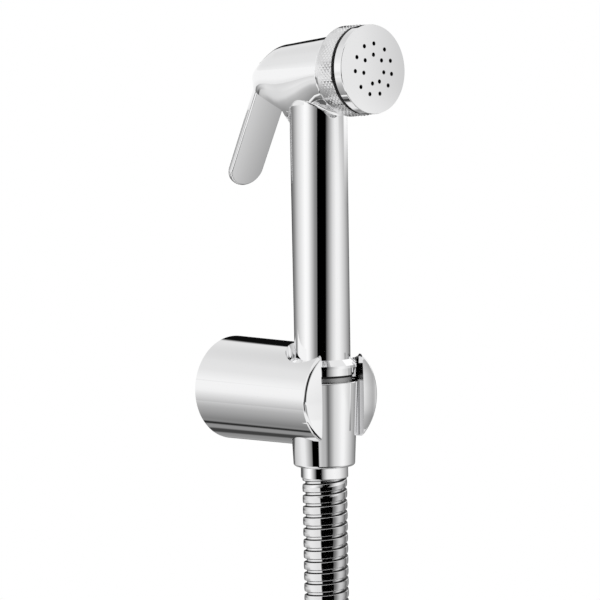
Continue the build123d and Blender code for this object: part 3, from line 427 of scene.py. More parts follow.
def shade_truly(mesh, surfaces, balls=(), ovals=None, crease=18.0, near=0.03):
    """Shades a mesh as the smooth piece it stands for. Faces that lie on a turned surface (middle,
    axis, outline corners), a ball (middle, radius) or a level form with oval sections (middle,
    (place along Y, half width, rise, drop) rows) take that surface's own normals."""
    mesh.polygons.foreach_set("use_smooth", [True] * len(mesh.polygons))
    mesh.set_sharp_from_angle(angle=radians(crease))
    places = np.empty(len(mesh.vertices) * 3)
    mesh.vertices.foreach_get("co", places)
    places = places.reshape(-1, 3) / MM
    corner_place = np.empty(len(mesh.loops), int)
    mesh.loops.foreach_get("vertex_index", corner_place)
    face_sizes = np.empty(len(mesh.polygons), int)
    mesh.polygons.foreach_get("loop_total", face_sizes)
    face_starts = np.empty(len(mesh.polygons), int)
    mesh.polygons.foreach_get("loop_start", face_starts)
    face_normals = np.empty(len(mesh.polygons) * 3)
    mesh.polygons.foreach_get("normal", face_normals)
    corner_face = np.repeat(np.arange(len(mesh.polygons)), face_sizes)
    facing = face_normals.reshape(-1, 3)[corner_face]
    normals = np.array([normal.vector for normal in mesh.corner_normals])
    best = np.full(len(mesh.loops), 0.93)
    true_normals = np.zeros((len(mesh.loops), 3))

    def offer(distance, normal):
        """Takes these normals at the corners that lie on the surface and face its way."""
        normal = normal[corner_place]
        agreement = np.sum(normal * facing, axis=1)
        normal = np.where(agreement[:, None] < 0, -normal, normal)
        agreement = np.abs(agreement)
        better = (distance[corner_place] < near) & (agreement > best)
        best[better] = agreement[better]
        true_normals[better] = normal[better]

    for middle, radius in balls:
        away = places - np.array(middle)
        length = np.linalg.norm(away, axis=1)
        offer(np.abs(length - radius), away / length[:, None])
    if ovals:
        middle, rows = ovals
        along, *sizes = np.array(sorted(rows)).T
        away = places - np.array(middle)
        width, rise, drop = (np.interp(away[:, 1], along, size) for size in sizes)
        widening, rising, dropping = (np.interp(away[:, 1], along, np.gradient(size, along))
                                      for size in sizes)
        upper = away[:, 2] > 0
        depth, deepening = np.where(upper, rise, drop), np.where(upper, rising, dropping)
        level = np.hypot(away[:, 0] / width, away[:, 2] / depth)
        forward = -(away[:, 0] ** 2 * widening / width ** 3 + away[:, 2] ** 2 * deepening / depth ** 3)
        normal = np.stack([away[:, 0] / width ** 2, forward, away[:, 2] / depth ** 2], axis=1)
        outside = np.abs(level - 1) * np.minimum(width, depth)
        outside[(away[:, 1] < along[0]) | (away[:, 1] > along[-1])] = 1
        normal = normal / np.maximum(np.linalg.norm(normal, axis=1), 1e-9)[:, None]
        offer(outside * near / OVAL_NEAR, normal)
    for middle, axis, corners in surfaces:
        axis = np.array(Vector(axis).normalized())
        away = places - np.array(middle)
        along = away @ axis
        flat = away - along[:, None] * axis
        radius = np.linalg.norm(flat, axis=1)
        outward = flat / np.maximum(radius, 1e-6)[:, None]
        for a, normal_a, b, normal_b in lathe_outline(corners, closed=False):
            run = b - a
            share = ((radius - a[0]) * run[0] + (along - a[1]) * run[1]) / (run @ run)
            share = np.clip(share, 0, 1)
            distance = np.hypot(radius - a[0] - share * run[0], along - a[1] - share * run[1])
            section = normal_a + share[:, None] * (normal_b - normal_a)
            section = section / np.linalg.norm(section, axis=1)[:, None]
            offer(distance, section[:, :1] * outward + section[:, 1:] * axis)
    on_surface = np.logical_and.reduceat(best > 0.93, face_starts)[corner_face]
    normals[on_surface] = true_normals[on_surface]
    # Faces beside a true surface take its normals where they run into it smoothly
    known = np.zeros((len(mesh.vertices), 3))
    known[corner_place[on_surface]] = true_normals[on_surface]
    beside = ~on_surface & (np.sum(known[corner_place] * normals, axis=1) > cos(radians(crease)))
    normals[beside] = known[corner_place[beside]]
    mesh.normals_split_custom_set(normals.tolist())


def polished_copy(name, node, surfaces, material, balls=(), ovals=None):
    """A CAD piece with its loose triangles joined, shaded truly, as a piece of its own."""
    mesh = nodes[node].data.copy()
    mesh.name = name
    work = bmesh.new()
    work.from_mesh(mesh)
    bmesh.ops.remove_doubles(work, verts=work.verts, dist=0.000002)
    work.to_mesh(mesh)
    work.free()
    shade_truly(mesh, surfaces, balls, ovals)
    mesh.materials.clear()
    mesh.materials.append(material)
    piece = scene_object(name, mesh)
    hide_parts(node)
    return piece


polished_chrome = chrome_plate("polished_chrome", (0.93, 0.93, 0.935), 0.03, 0.000003, 70.0)
GRIP_AXIS = (0, 0, 1)
GRIP_FOOT = (0, -WALL_TO_GRIP, 0)
LEVEL_AXIS = (0, 1, 0)
dome_sphere = (HOLDER_FRONT_RADIUS ** 2 + HOLDER_DOME ** 2) / (2 * HOLDER_DOME)
holder = polished_copy(
    "holder", "holder_body",
    [((0, 0, 0), LEVEL_AXIS, [(HOLDER_FRONT_RADIUS - 3, -HOLDER_LENGTH - 0.27),
                              (HOLDER_FRONT_RADIUS, -HOLDER_LENGTH, 1.3), (HOLDER_WALL_RADIUS, 0)]),
     (GRIP_FOOT, GRIP_AXIS, [(11.322, -21.1), (13.285, 21.1)])],
    polished_chrome, balls=[((0, dome_sphere - HOLDER_LENGTH - HOLDER_DOME, 0), dome_sphere)])
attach(holder, "holder")

# Handset body: one hollow brass casting, polished and chromed: a level barrel that widens to
# the front, a tail that slopes down over the lever, and the upright grip with its flared collar.
HEAD_HEIGHT = 113.4
HEAD_MIDDLE = (0, 0, HEAD_HEIGHT)
COLLAR_FOOT = 7.7
COLLAR_RADIUS = 11.0
SPIGOT_TOP = 6.9
SPIGOT_END = -5.2
SPIGOT_RADIUS = 10.4
# The barrel and tail as ovals: place, half width, rise and drop
HEAD_OVALS = [(-61.0, 12.8, 12.8, 12.8), (-57.0, 12.6, 12.6, 13.2), (-53.0, 12.35, 12.35, 14.7),
              (-48.3, 12.1, 12.1, 16.8), (-43.0, 11.8, 11.8, 18.2), (-38.5, 11.53, 11.53, 18.2),
              (-36.0, 11.4, 11.4, 17.4), (-33.0, 11.4, 11.1, 15.6), (-30.0, 11.3, 9.7, 13.8),
              (-27.0, 10.55, 7.6, 12.8), (-24.0, 9.15, 5.1, 11.8), (-21.5, 7.0, 3.2, 9.8)]
handset = polished_copy(
    "handset", "handset_body",
    [(HEAD_MIDDLE, LEVEL_AXIS, [(11.85, -68.0), (11.85, -61.0)]),
     (GRIP_FOOT, GRIP_AXIS, [(10.1, HEAD_HEIGHT), (10.1, 92.0), (9.9, 13.2), (12.1, 11.2), (12.1, 10.3),
                             (COLLAR_RADIUS, 10.3), (COLLAR_RADIUS, COLLAR_FOOT), (9.8, COLLAR_FOOT),
                             (9.8, SPIGOT_TOP), (SPIGOT_RADIUS, SPIGOT_TOP), (SPIGOT_RADIUS, SPIGOT_END)])],
    polished_chrome, ovals=(HEAD_MIDDLE, HEAD_OVALS))
# The groove above the nut's thread is painted near black and the thread dark grey, both a little rougher:
# painted shade for the dark gap between the collar and the nut
painted_shade_groove = plain_metal("painted_shade_groove", (0.05, 0.05, 0.05), 0.45, 900.0)
painted_shade_thread = plain_metal("painted_shade_thread", (0.4, 0.4, 0.4), 0.3, 900.0)
handset.data.materials.append(painted_shade_groove)
handset.data.materials.append(painted_shade_thread)
SHADE_MARGIN = 0.05
# Faces in the groove take the near-black painted shade, faces on the thread the dark grey painted shade
for polygon in handset.data.polygons:
    place = polygon.center / MM - Vector(GRIP_FOOT)
    from_axis = place.xy.length
    if SPIGOT_TOP - SHADE_MARGIN < place.z < COLLAR_FOOT + SHADE_MARGIN and from_axis < COLLAR_RADIUS - 0.02:
        polygon.material_index = 1
    elif SPIGOT_END - 0.1 < place.z <= SPIGOT_TOP - SHADE_MARGIN and abs(from_axis - SPIGOT_RADIUS) < 0.2:
        polygon.material_index = 2
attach(handset, "handset")

# Lever: a tapered brass plate with a slight crown and rounded edges, stamped, polished and
# chromed. It swings on the steel pin across the tail.
PIN_PLACE = Vector((0, -28.3, 117.5))
LEVER_LEAN = radians(27.8)
LEVER_THICKNESS = 2.2
LEVER_EDGE = 0.8
LEVER_CROWN = 100.0
LEVER_CUTS = (-6.0, -4.5, -3.0, -1.5, 0, 1.5, 3.0, 4.5, 6.0)
TIP_HALF_WIDTH = 7.65
TIP_START = -41.2
TIP_LENGTH = 6.5
TIP_STEPS = 24
lever_side = [(5.0, 0), (5.0, -6.5), (7.9, -7.5), (7.9, -10.5), (TIP_HALF_WIDTH, TIP_START)]


def lever_outline():
    """The plate's edge as (across, along) points from the pin, once round."""
    tip = [(TIP_HALF_WIDTH * cos(pi * k / TIP_STEPS), TIP_START - TIP_LENGTH * sin(pi * k / TIP_STEPS))
           for k in range(1, TIP_STEPS)]
    return lever_side + tip + [(-x, along) for x, along in reversed(lever_side)]


down_lever = Vector((0, -sin(LEVER_LEAN), cos(LEVER_LEAN)))
out_of_lever = Vector((0, -cos(LEVER_LEAN), -sin(LEVER_LEAN)))
edge = lever_outline()
plate = bpy.data.meshes.new("lever_plate")
corners = []
for side in (-1, 1):
    side_middle = PIN_PLACE + out_of_lever * (side * LEVER_THICKNESS / 2)
    corners += [(side_middle + Vector((x, 0, 0)) + down_lever * along) * MM for x, along in edge]
count = len(edge)
faces = [tuple(range(count)), tuple(reversed(range(count, 2 * count)))]
faces += [(i, count + i, count + (i + 1) % count, (i + 1) % count) for i in range(count)]
plate.from_pydata(corners, [], faces)
work = bmesh.new()
work.from_mesh(plate)
bmesh.ops.recalc_face_normals(work, faces=work.faces)
work.to_mesh(plate)
work.free()
plate.polygons.foreach_set("use_smooth", [True] * len(plate.polygons))
rough_lever = scene_object("lever_rough", plate)
bevel = rough_lever.modifiers.new("softened_edges", "BEVEL")
bevel.width = LEVER_EDGE * MM
bevel.segments = 6
bevel.use_clamp_overlap = False
bevel.limit_method = "ANGLE"
bevel.angle_limit = radians(40)
bevel.harden_normals = True


def finished(rough, name, material):
    """The piece that a rough shape and its modifiers make."""
    bpy.context.view_layer.update()
    graph = bpy.context.evaluated_depsgraph_get()
    mesh = bpy.data.meshes.new_from_object(rough.evaluated_get(graph), preserve_all_data_layers=True,
                                           depsgraph=graph)
    mesh.name = name
    if material:
        mesh.materials.clear()
        mesh.materials.append(material)
    bpy.data.objects.remove(rough)
    return scene_object(name, mesh)


lever_piece = finished(rough_lever, "squeeze_lever", polished_chrome)
# The crown: both flat sides are cut along their length, the plate bends back a little towards its
# edges, and its normals turn with it
NEARLY_SQUARE = 0.9999
plate = lever_piece.data
work = bmesh.new()
work.from_mesh(plate)
for across in LEVER_CUTS:
    for side in (-1, 1):
        flat = [face for face in work.faces if face.normal.dot(out_of_lever) * side > NEARLY_SQUARE]
        flat_edges = [line for line in work.edges if any(face in flat for face in line.link_faces)]
        flat_corners = [corner for corner in work.verts if any(face in flat for face in corner.link_faces)]
        bmesh.ops.bisect_plane(work, geom=flat + flat_edges + flat_corners, plane_co=(across * MM, 0, 0),
                               plane_no=(1, 0, 0), dist=0.000001)
work.to_mesh(plate)
work.free()
plate.polygons.foreach_set("use_smooth", [True] * len(plate.polygons))
flat_sides = {}
for polygon in plate.polygons:
    facing = polygon.normal.dot(out_of_lever)
    if abs(facing) > NEARLY_SQUARE:
        flat_sides.update((corner, out_of_lever * facing) for corner in polygon.vertices)
crowned = []
for corner, normal in zip(plate.loops, plate.corner_normals):
    lean = Matrix.Rotation(plate.vertices[corner.vertex_index].co.x / (LEVER_CROWN * MM), 3, down_lever)
    crowned.append(lean @ flat_sides.get(corner.vertex_index, normal.vector))
for vertex in plate.vertices:
    vertex.co -= out_of_lever * (vertex.co.x ** 2 / (2 * LEVER_CROWN * MM))
plate.normals_split_custom_set(crowned)
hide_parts("lever")
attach(lever_piece, "lever")

# Valve: a brass stem, seat and gland nut inside the barrel, with a steel spring and clip, and
# rubber washers. Only the stem's tip shows, behind the lever.
brass = plain_metal("brass", (0.78, 0.57, 0.25), 0.28, 700.0)
paint_nodes(brass, "valve_stem", "spring_cap", "gland_nut", "valve_seat", "hose_tail_upper",
            "hose_tail_lower")
# The spring stands in the body, where it shortens as the stem slides in; here it rides with the body, with a
# mesh of its own
spring = polished_copy("stem_spring", "return_spring", [], steel)
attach(spring, "handset")
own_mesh(spring)


def rubber(name, colour, roughness, grain):
    """Moulded rubber or nylon: matt, slightly mottled, with a fine skin."""
    material, out = new_material(name)
    tree = material.node_tree
    coordinates = add_node(tree, "ShaderNodeTexCoord").outputs["Object"]
    mottle = add_node(tree, "ShaderNodeTexNoise", [
        ("Vector", coordinates), ("Scale", grain), ("Detail", 5.0)])
    mottle = mottle.outputs["Fac"]
    tint = add_node(tree, "ShaderNodeMix", [
        (0, mottle), (6, (*(0.7 * c for c in colour), 1)), (7, (*colour, 1))], data_type="RGBA")
    bump = add_node(tree, "ShaderNodeBump", [("Height", mottle), ("Distance", 0.00003)])
    shader = add_node(tree, "ShaderNodeBsdfPrincipled", [
        ("Base Color", tint.outputs[2]), ("Roughness", roughness), ("Normal", bump.outputs["Normal"])])
    tree.links.new(shader.outputs[0], out.inputs["Surface"])
    return material


black_rubber = rubber("black_rubber", (0.016, 0.016, 0.017), 0.55, 1500.0)
paint_nodes(black_rubber, "valve_washer", "stem_seal", "nut_washer", "inlet_washer")

# Knurled ring: the brass coupling ring that draws the spray face against the body. It has a
# smooth band behind, out of which a rolled diamond knurl rises, and its chrome is a little dull.


def turned(name, corners, middle, axis, material, sides=192):
    """A turned piece: the closed outline of (radius, place along the axis, rounding) corners spun
    about the axis, with the true normals of its surfaces."""
    axis, across, third = axes_for(axis)
    middle = Vector(middle)
    area = sum(a[0] * b[1] - b[0] * a[1] for a, b in zip(corners, corners[1:] + corners[:1]))
    if area < 0:
        corners = corners[::-1]
    places, faces, normals, rings = [], [], [], {}

    def ring_at(point):
        """First place of the ring of places at an outline point, and whether it is on the axis."""
        key = (round(float(point[0]), 6), round(float(point[1]), 6))
        pole = key[0] < 1e-6
        if key not in rings:
            rings[key] = len(places)
            for k in range(1 if pole else sides):
                angle = 2 * pi * k / sides
                spoke = across * cos(angle) + third * sin(angle)
                places.append((middle + axis * key[1] + spoke * key[0]) * MM)
        return rings[key], pole

    def spun(normal, k):
        """An outline normal turned to side k."""
        angle = 2 * pi * k / sides
        return axis * float(normal[1]) + (across * cos(angle) + third * sin(angle)) * float(normal[0])

    for a, normal_a, b, normal_b in lathe_outline(corners):
        first, first_pole = ring_at(a)
        second, second_pole = ring_at(b)
        if first_pole and second_pole:
            continue
        for k in range(sides):
            n = (k + 1) % sides
            if first_pole:
                faces.append((first, second + n, second + k))
                normals += [spun(normal_a, k + 0.5), spun(normal_b, n), spun(normal_b, k)]
            elif second_pole:
                faces.append((first + k, first + n, second))
                normals += [spun(normal_a, k), spun(normal_a, n), spun(normal_b, k + 0.5)]
            else:
                faces.append((first + k, first + n, second + n, second + k))
                normals += [spun(normal_a, k), spun(normal_a, n), spun(normal_b, n), spun(normal_b, k)]
    mesh = bpy.data.meshes.new(name)
    mesh.from_pydata(places, [], faces)
    mesh.polygons.foreach_set("use_smooth", [True] * len(mesh.polygons))
    mesh.normals_split_custom_set(normals)
    mesh.materials.append(material)
    return scene_object(name, mesh)


RING_RADIUS = 15.6
KNURL_REAR = -64.9
KNURL_FRONT = -71.0
KNURL_DEPTH = 0.24
KNURL_RUN_OUT = 3.6
KNURL_START = KNURL_REAR - 0.1
KNURL_TEETH = 60
KNURL_ROWS = 8
TOOTH_TOP = 0.08
rolled_chrome = chrome_plate("rolled_chrome", (0.79, 0.79, 0.795), 0.12, 0.000003, 70.0)
ring = turned("coupling_ring",
              [(11.9, -61.0), (13.0, -61.0, 0.1), (13.8, -62.6, 3.0), (RING_RADIUS, -64.4, 0.8),
               (RING_RADIUS, KNURL_REAR, 3.0), (RING_RADIUS - KNURL_DEPTH, KNURL_REAR - KNURL_RUN_OUT),
               (RING_RADIUS - KNURL_DEPTH, KNURL_FRONT), (15.2, -71.3), (11.9, -71.3)],
              HEAD_MIDDLE, LEVEL_AXIS, rolled_chrome)
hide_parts("knurled_ring")
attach(ring, "handset")


def recipe(name, inputs):
    """An empty Geometry Nodes tree with named inputs after its geometry, and its input sockets."""
    tree = bpy.data.node_groups.new(name, "GeometryNodeTree")
    tree.interface.new_socket("Geometry", in_out="INPUT", socket_type="NodeSocketGeometry")
    for label, kind in inputs:
        tree.interface.new_socket(label, in_out="INPUT", socket_type=kind)
    tree.interface.new_socket("Geometry", in_out="OUTPUT", socket_type="NodeSocketGeometry")
    return tree, tree.nodes.new("NodeGroupInput").outputs, tree.nodes.new("NodeGroupOutput").inputs


def set_recipe(piece, tree, values):
    """Puts a Geometry Nodes tree on a piece, with its named inputs set."""
    modifier = piece.modifiers.new(tree.name, "NODES")
    modifier.node_group = tree
    for item in tree.interface.items_tree:
        if item.in_out == "INPUT" and item.name in values:
            modifier[item.identifier] = values[item.name]


# Knurl: rows of small pyramids round the ring, every other row half a tooth on
knurl_tree, given, result = recipe("diamond_knurl", [
    ("Teeth", "NodeSocketInt"), ("Rows", "NodeSocketInt"), ("Radius", "NodeSocketFloat"),
    ("Rear", "NodeSocketFloat"), ("Length", "NodeSocketFloat"), ("Depth", "NodeSocketFloat"),
    ("Axis Height", "NodeSocketFloat"), ("Finish", "NodeSocketMaterial")])
tooth_count = calculate(knurl_tree, "MULTIPLY", given["Teeth"], given["Rows"])
tooth_points = add_node(knurl_tree, "GeometryNodePoints", [(0, tooth_count)])
tooth_index = add_node(knurl_tree, "GeometryNodeInputIndex").outputs[0]
tooth_row = calculate(knurl_tree, "FLOOR", calculate(knurl_tree, "DIVIDE", tooth_index, given["Teeth"]))
half_on = calculate(knurl_tree, "MULTIPLY", calculate(knurl_tree, "MODULO", tooth_row, 2.0), 0.5)
round_step = calculate(knurl_tree, "DIVIDE", 2 * pi, given["Teeth"])
tooth_place = calculate(knurl_tree, "ADD", tooth_index, half_on)
tooth_angle = calculate(knurl_tree, "MULTIPLY", tooth_place, round_step)
row_step = calculate(knurl_tree, "DIVIDE", given["Length"], given["Rows"])
row_middle = calculate(knurl_tree, "MULTIPLY", calculate(knurl_tree, "ADD", tooth_row, 0.5), row_step)
row_place = calculate(knurl_tree, "SUBTRACT", given["Rear"], row_middle)
foot_radius = calculate(knurl_tree, "SUBTRACT", given["Radius"], given["Depth"])
foot_across = calculate(knurl_tree, "MULTIPLY", foot_radius, calculate(knurl_tree, "SINE", tooth_angle))
foot_up = calculate(knurl_tree, "MULTIPLY", foot_radius, calculate(knurl_tree, "COSINE", tooth_angle))
foot = add_node(knurl_tree, "ShaderNodeCombineXYZ", [
    (0, foot_across), (1, row_place), (2, calculate(knurl_tree, "ADD", foot_up, given["Axis Height"]))])
tooth_turn = add_node(knurl_tree, "ShaderNodeCombineXYZ", [(1, tooth_angle)])
placed = add_node(knurl_tree, "GeometryNodeSetPosition", [
    ("Geometry", tooth_points.outputs[0]), ("Position", foot.outputs[0])])
tooth_pitch = calculate(knurl_tree, "MULTIPLY", round_step, given["Radius"])
half_tooth = calculate(knurl_tree, "MULTIPLY", tooth_pitch, 0.5)
tooth = add_node(knurl_tree, "GeometryNodeMeshCone", [
    ("Vertices", 4), ("Radius Top", TOOTH_TOP * MM), ("Radius Bottom", half_tooth),
    ("Depth", given["Depth"])])
stretch = add_node(knurl_tree, "ShaderNodeCombineXYZ", [
    (0, 1.0), (1, calculate(knurl_tree, "DIVIDE", row_step, half_tooth)), (2, 1.0)])
teeth = add_node(knurl_tree, "GeometryNodeInstanceOnPoints", [
    ("Points", placed.outputs[0]), ("Instance", tooth.outputs["Mesh"]), ("Rotation", tooth_turn.outputs[0]),
    ("Scale", stretch.outputs[0])])
real_teeth = add_node(knurl_tree, "GeometryNodeRealizeInstances", [(0, teeth.outputs[0])])
finished_teeth = add_node(knurl_tree, "GeometryNodeSetMaterial", [
    ("Geometry", real_teeth.outputs[0]), ("Material", given["Finish"])])
knurl_tree.links.new(finished_teeth.outputs[0], result[0])

knurl_blank = scene_object("knurl_blank", bpy.data.meshes.new("knurl_blank"))
set_recipe(knurl_blank, knurl_tree, {
    "Teeth": KNURL_TEETH, "Rows": KNURL_ROWS, "Radius": RING_RADIUS * MM, "Rear": KNURL_START * MM,
    "Length": (KNURL_START - KNURL_FRONT) * MM, "Depth": KNURL_DEPTH * MM,
    "Axis Height": HEAD_HEIGHT * MM, "Finish": rolled_chrome})
knurl = finished(knurl_blank, "ring_knurl", rolled_chrome)
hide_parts("knurled_ring")
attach(knurl, "handset")

# Face seal: the black rubber ring squeezed between the ring and the face.
seal = turned("face_gasket", [(11.9, -71.3), (14.2, -71.3, 0.2), (14.2, -72.7, 0.2), (11.9, -72.7)],
              HEAD_MIDDLE, LEVEL_AXIS, black_rubber)
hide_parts("face_seal")
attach(seal, "handset")

# Spray face: an almost flat chromed cup with eighteen drilled jets in two rings. Its skirt
# screws inside the ring.
FACE_RADIUS = 15.2
FACE_FRONT = -76.2
FACE_DOME = 0.15
JET_RADIUS = 0.75
DRILL_LENGTH = 4.0
face_top = FACE_FRONT - FACE_DOME
face_outline = [(0, face_top), (7.6, face_top, 760.0), (FACE_RADIUS, FACE_FRONT, 0.5),
                (FACE_RADIUS, -72.7, 0.15), (11.85, -72.7), (11.85, -68.2), (10.0, -68.2), (10.0, -74.5),
                (0, -74.5)]
face_blank = turned("face_blank", face_outline, HEAD_MIDDLE, LEVEL_AXIS, polished_chrome, sides=128)
# The jets' bores are painted black: painted shade inside the drilled holes
painted_shade_bore = rubber("jet_bore_painted_shade", (0.004, 0.004, 0.004), 0.9, 1500.0)

# Jets: a drill at each place, taken out of the face. They are drilled a little unevenly; the turns
# are degrees from the top, clockwise from in front
OUTER_JET_CIRCLE = 8.7
INNER_JET_CIRCLE = 4.9
OUTER_JET_TURNS = (2, 38, 69, 99, 128, 161, 193, 225, 264, 296, 331)
INNER_JET_TURNS = (0, 51, 101, 147, 188, 254, 306)
drill_tree, given, result = recipe("drilled_jets", [
    ("Face", "NodeSocketObject"), ("Jet Radius", "NodeSocketFloat"), ("Drill Length", "NodeSocketFloat"),
    ("Bore", "NodeSocketMaterial")])
drill = add_node(drill_tree, "GeometryNodeMeshCylinder", [
    ("Vertices", 32), ("Radius", given["Jet Radius"]), ("Depth", given["Drill Length"])])
drill_turn = add_node(drill_tree, "ShaderNodeCombineXYZ", [(0, pi / 2)])
jet_points = add_node(drill_tree, "GeometryNodeMeshToPoints", [("Mesh", given["Geometry"])])
drills = add_node(drill_tree, "GeometryNodeInstanceOnPoints", [
    ("Points", jet_points.outputs[0]), ("Instance", drill.outputs["Mesh"]),
    ("Rotation", drill_turn.outputs[0])])
real_drills = add_node(drill_tree, "GeometryNodeRealizeInstances", [(0, drills.outputs[0])])
# The drills' walls take the black bore material, the painted shade
bored = add_node(drill_tree, "GeometryNodeSetMaterial", [
    ("Geometry", real_drills.outputs[0]), ("Material", given["Bore"])])
blank = add_node(drill_tree, "GeometryNodeObjectInfo", [("Object", given["Face"])])
drilled = add_node(drill_tree, "GeometryNodeMeshBoolean", operation="DIFFERENCE", solver="EXACT")
drill_tree.links.new(blank.outputs["Geometry"], drilled.inputs[0])
drill_tree.links.new(bored.outputs[0], drilled.inputs[1])
drill_tree.links.new(drilled.outputs[0], result[0])
jet_places = [(circle * sin(radians(turn_on)) * MM, (FACE_FRONT + 0.5) * MM,
               (HEAD_HEIGHT + circle * cos(radians(turn_on))) * MM)
              for circle, turns in ((OUTER_JET_CIRCLE, OUTER_JET_TURNS),
                                    (INNER_JET_CIRCLE, INNER_JET_TURNS))
              for turn_on in turns]
jet_plan = bpy.data.meshes.new("jet_plan")
jet_plan.from_pydata(jet_places, [], [])
jets = scene_object("jet_plan", jet_plan)
set_recipe(jets, drill_tree, {"Face": face_blank, "Jet Radius": JET_RADIUS * MM,
                              "Drill Length": DRILL_LENGTH * MM, "Bore": painted_shade_bore})
face = finished(jets, "drilled_face", None)
bpy.data.objects.remove(face_blank)
shade_truly(face.data, [(HEAD_MIDDLE, LEVEL_AXIS, face_outline[:-1])])
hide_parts("spray_face")
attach(face, "handset")

# Cone nut: a turned brass cone, chromed, that holds the hose's tail against the spigot and
# sits in the holder's bore.
nut = turned("hose_nut",
             [(10.5, 5.3), (12.3, 5.3, 0.4), (10.9, -24.8, 1.0), (8.6, -24.8), (8.6, -9.8), (10.5, -9.8)],
             GRIP_FOOT, GRIP_AXIS, polished_chrome)
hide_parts("cone_nut")
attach(nut, "handset")

# Upper ferrule: a plain chromed sleeve, crimped over the end of the hose.
FERRULE_TOP = -10.2
FERRULE_END = -29.1
ferrule = turned("hose_ferrule",
                 [(5.5, FERRULE_TOP), (8.4, FERRULE_TOP, 0.2), (8.4, FERRULE_END, 0.35), (5.5, FERRULE_END)],
                 GRIP_FOOT, GRIP_AXIS, polished_chrome)
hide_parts("ferrule_upper")
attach(ferrule, "hose")

# Hose: chromed steel strip wound to a flexible armour over a rubber tube. It hangs straight
# from the ferrule, sways to the right and is put away in upright loops.
HOSE_EXIT = (0, -WALL_TO_GRIP, FERRULE_END)
COIL_RADIUS = 88.0
COIL_HEIGHT = -235.505
LOWER_END_HEIGHT = -323.914
FRONT_LAYER = -WALL_TO_GRIP
REAR_LAYER = -31.3
LOW_LAYER_STEP = 8.5
LOOP_POINTS = 12
loop_radius = COIL_RADIUS / cos(pi / LOOP_POINTS)
route_points = [HOSE_EXIT, (0, FRONT_LAYER, -82), (0, FRONT_LAYER, -141.9),
                (COIL_RADIUS, FRONT_LAYER, -186.2)]
for k in range(LOOP_POINTS // 2):
    angle = 2 * pi * (k + 0.5) / LOOP_POINTS
    route_points.append((loop_radius * cos(angle), FRONT_LAYER + LOW_LAYER_STEP * (1 - cos(angle)),
                         COIL_HEIGHT - loop_radius * sin(angle)))
for k in range(LOOP_POINTS // 2):
    angle = 2 * pi * (k + 0.5) / LOOP_POINTS
    route_points.append((-loop_radius * cos(angle), REAR_LAYER, COIL_HEIGHT + loop_radius * sin(angle)))
for k in range(LOOP_POINTS // 4):
    angle = 2 * pi * (k + 0.5) / LOOP_POINTS
    route_points.append((loop_radius * cos(angle), REAR_LAYER + LOW_LAYER_STEP * (1 - cos(angle)),
                         COIL_HEIGHT - loop_radius * sin(angle)))
route_points += [(0, -22.8, LOWER_END_HEIGHT), (-36.829, -19.243, LOWER_END_HEIGHT)]

route = bpy.data.curves.new("hose_route", "CURVE")
route.dimensions = "3D"
route.resolution_u = 24
line = route.splines.new("NURBS")
line.points.add(len(route_points) - 1)
for point, place in zip(line.points, route_points):
    point.co = (place[0] * MM, place[1] * MM, place[2] * MM, 1)
line.order_u = 3
line.use_endpoint_u = True
route_guide = scene_object("hose_route", route)
bpy.context.view_layer.update()
graph = bpy.context.evaluated_depsgraph_get()
guide_mesh = bpy.data.meshes.new_from_object(route_guide.evaluated_get(graph))
hose_path = [vertex.co.copy() for vertex in guide_mesh.vertices]
bpy.data.objects.remove(route_guide)
bpy.data.meshes.remove(guide_mesh)

# The wound strip in section, as (radius, distance along, rounding) corners over one turn: a narrow
# groove, then a flat crest with rounded edges
STRIP_PITCH = 3.96
STRIP_SECTION = [(6.9, -1.0), (6.9, -0.35), (7.87, 0.0, 0.3), (8.0, 1.3, 6.0), (7.87, 2.6, 0.3),
                 (6.9, STRIP_PITCH - 1.0)]
HOSE_SIDES = 40


def frames_along(path):
    """Distance, place, way ahead and two square directions carried along a path without twist."""
    distance = [0.0]
    for a, b in zip(path, path[1:]):
        distance.append(distance[-1] + (b - a).length)
    last = len(path) - 1
    across = Vector((1, 0, 0))
    ahead, sideways, square = [], [], []
    for i in range(len(path)):
        direction = (path[min(i + 1, last)] - path[max(i - 1, 0)]).normalized()
        across = (across - direction * across.dot(direction)).normalized()
        ahead.append(list(direction))
        sideways.append(list(across))
        square.append(list(direction.cross(across)))
    middles = np.array([list(place) for place in path])
    return np.array(distance), middles, np.array(ahead), np.array(sideways), np.array(square)


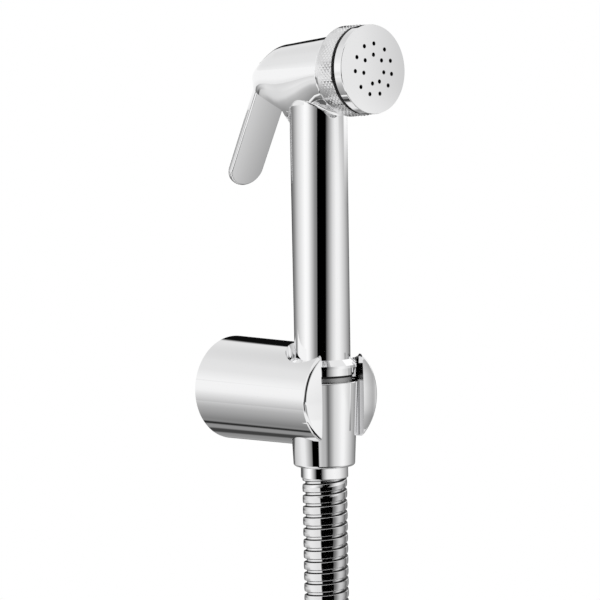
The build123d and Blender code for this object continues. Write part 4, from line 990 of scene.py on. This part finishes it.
def wound_hose(name, path, material, shaded_wall_material):
    """The armour: the strip's section wound round the path, closed at both ends, with true normals.
    The walls of its groove take a second, dark material: painted shade."""
    distance, middles, ahead, sideways, square = frames_along(path)
    total = distance[-1]
    stretches = lathe_outline(STRIP_SECTION, closed=False)
    steps = len(stretches)
    turns = np.arange(-1, ceil(total / (STRIP_PITCH * MM)) + 1)
    starts = np.array([a for a, _, _, _ in stretches]) * MM
    # Row r of the winding is section step r % steps of turn r // steps
    step = np.tile(np.arange(steps), len(turns))
    turn = np.repeat(turns, steps)
    side = np.arange(HOSE_SIDES)
    along = (turn[:, None] + side[None, :] / HOSE_SIDES) * STRIP_PITCH * MM + starts[step, 1][:, None]
    along = np.clip(along, 0, total)
    radius = np.repeat(starts[step, 0][:, None], HOSE_SIDES, axis=1)
    angle = 2 * pi * side / HOSE_SIDES

    def at(values):
        """Directions or places of the path, read off at each point of the winding."""
        return np.stack([np.interp(along, distance, values[:, i]) for i in range(3)], axis=-1)

    out = at(sideways) * np.cos(angle)[None, :, None] + at(square) * np.sin(angle)[None, :, None]
    out = out / np.linalg.norm(out, axis=-1)[..., None]
    forward = at(ahead)
    places = at(middles) + out * radius[..., None]
    rows = len(places)
    # Each face joins row r to row r + 1; past the last side the winding goes on a turn further
    row, k = np.meshgrid(np.arange(rows - 1 - steps), side, indexing="ij")
    next_row = np.where(k == HOSE_SIDES - 1, row + steps, row)
    next_side = (k + 1) % HOSE_SIDES
    corner_rows = np.stack([row, next_row, next_row + 1, row + 1], axis=-1)
    corner_sides = np.stack([k, next_side, next_side, k], axis=-1)
    faces = (corner_rows * HOSE_SIDES + corner_sides).reshape(-1, 4)
    section_normals = np.array([(normal_a, normal_b) for _, normal_a, _, normal_b in stretches])
    which = np.array([0, 0, 1, 1])
    normal = section_normals[(row % steps)[..., None], which]
    normals = (out[corner_rows, corner_sides] * normal[..., :1]
               + forward[corner_rows, corner_sides] * normal[..., 1:]).reshape(-1, 4, 3)
    # The groove's walls take the second material, the painted shade
    walls = np.array([abs(b[0] - a[0]) > abs(b[1] - a[1]) for a, _, b, _ in stretches])
    finish = walls[row % steps].reshape(-1).astype(int)
    # Faces squeezed flat at the ends are left out
    lengths = along[corner_rows, corner_sides].reshape(-1, 4)
    real = (lengths.max(axis=1) - lengths.min(axis=1)) > 1e-7
    faces, normals, finish = faces[real], normals[real], finish[real]
    mesh = bpy.data.meshes.new(name)
    mesh.from_pydata(places.reshape(-1, 3).tolist(), [], faces.tolist())
    mesh.polygons.foreach_set("use_smooth", [True] * len(mesh.polygons))
    mesh.normals_split_custom_set(normals.reshape(-1, 3).tolist())
    mesh.materials.append(material)
    mesh.materials.append(shaded_wall_material)
    mesh.polygons.foreach_set("material_index", finish)
    return scene_object(name, mesh)


hose_armour = chrome_plate("hose_armour", (0.9, 0.9, 0.905), 0.06, 0.000001, 160.0)
# The groove walls are painted near black: painted shade for the deep overlaps of the strip, where little
# light gets in
hose_groove_shade = plain_metal("hose_groove_shade", (0.1, 0.1, 0.1), 0.4, 900.0)
hose = wound_hose("armoured_hose", hose_path, hose_armour, hose_groove_shade)
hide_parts("hose_free", "hose_coil")
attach(hose, "hose")

# Inner tube: white food-grade rubber, out of sight inside the armour.
white_rubber = rubber("white_rubber", (0.75, 0.74, 0.7), 0.5, 900.0)
paint_nodes(white_rubber, "inner_tube")

# Lower end: the same crimped sleeve, a flanged brass tail and a free-turning chromed hexagon
# nut that screws on the water outlet.
paint_nodes(polished_chrome, "ferrule_lower", "inlet_nut")

# Coil tie: a strap of soft black nylon round the two passes of the coil.
black_strap = rubber("black_strap", (0.02, 0.02, 0.022), 0.7, 2500.0)
paint_nodes(black_strap, "coil_tie")
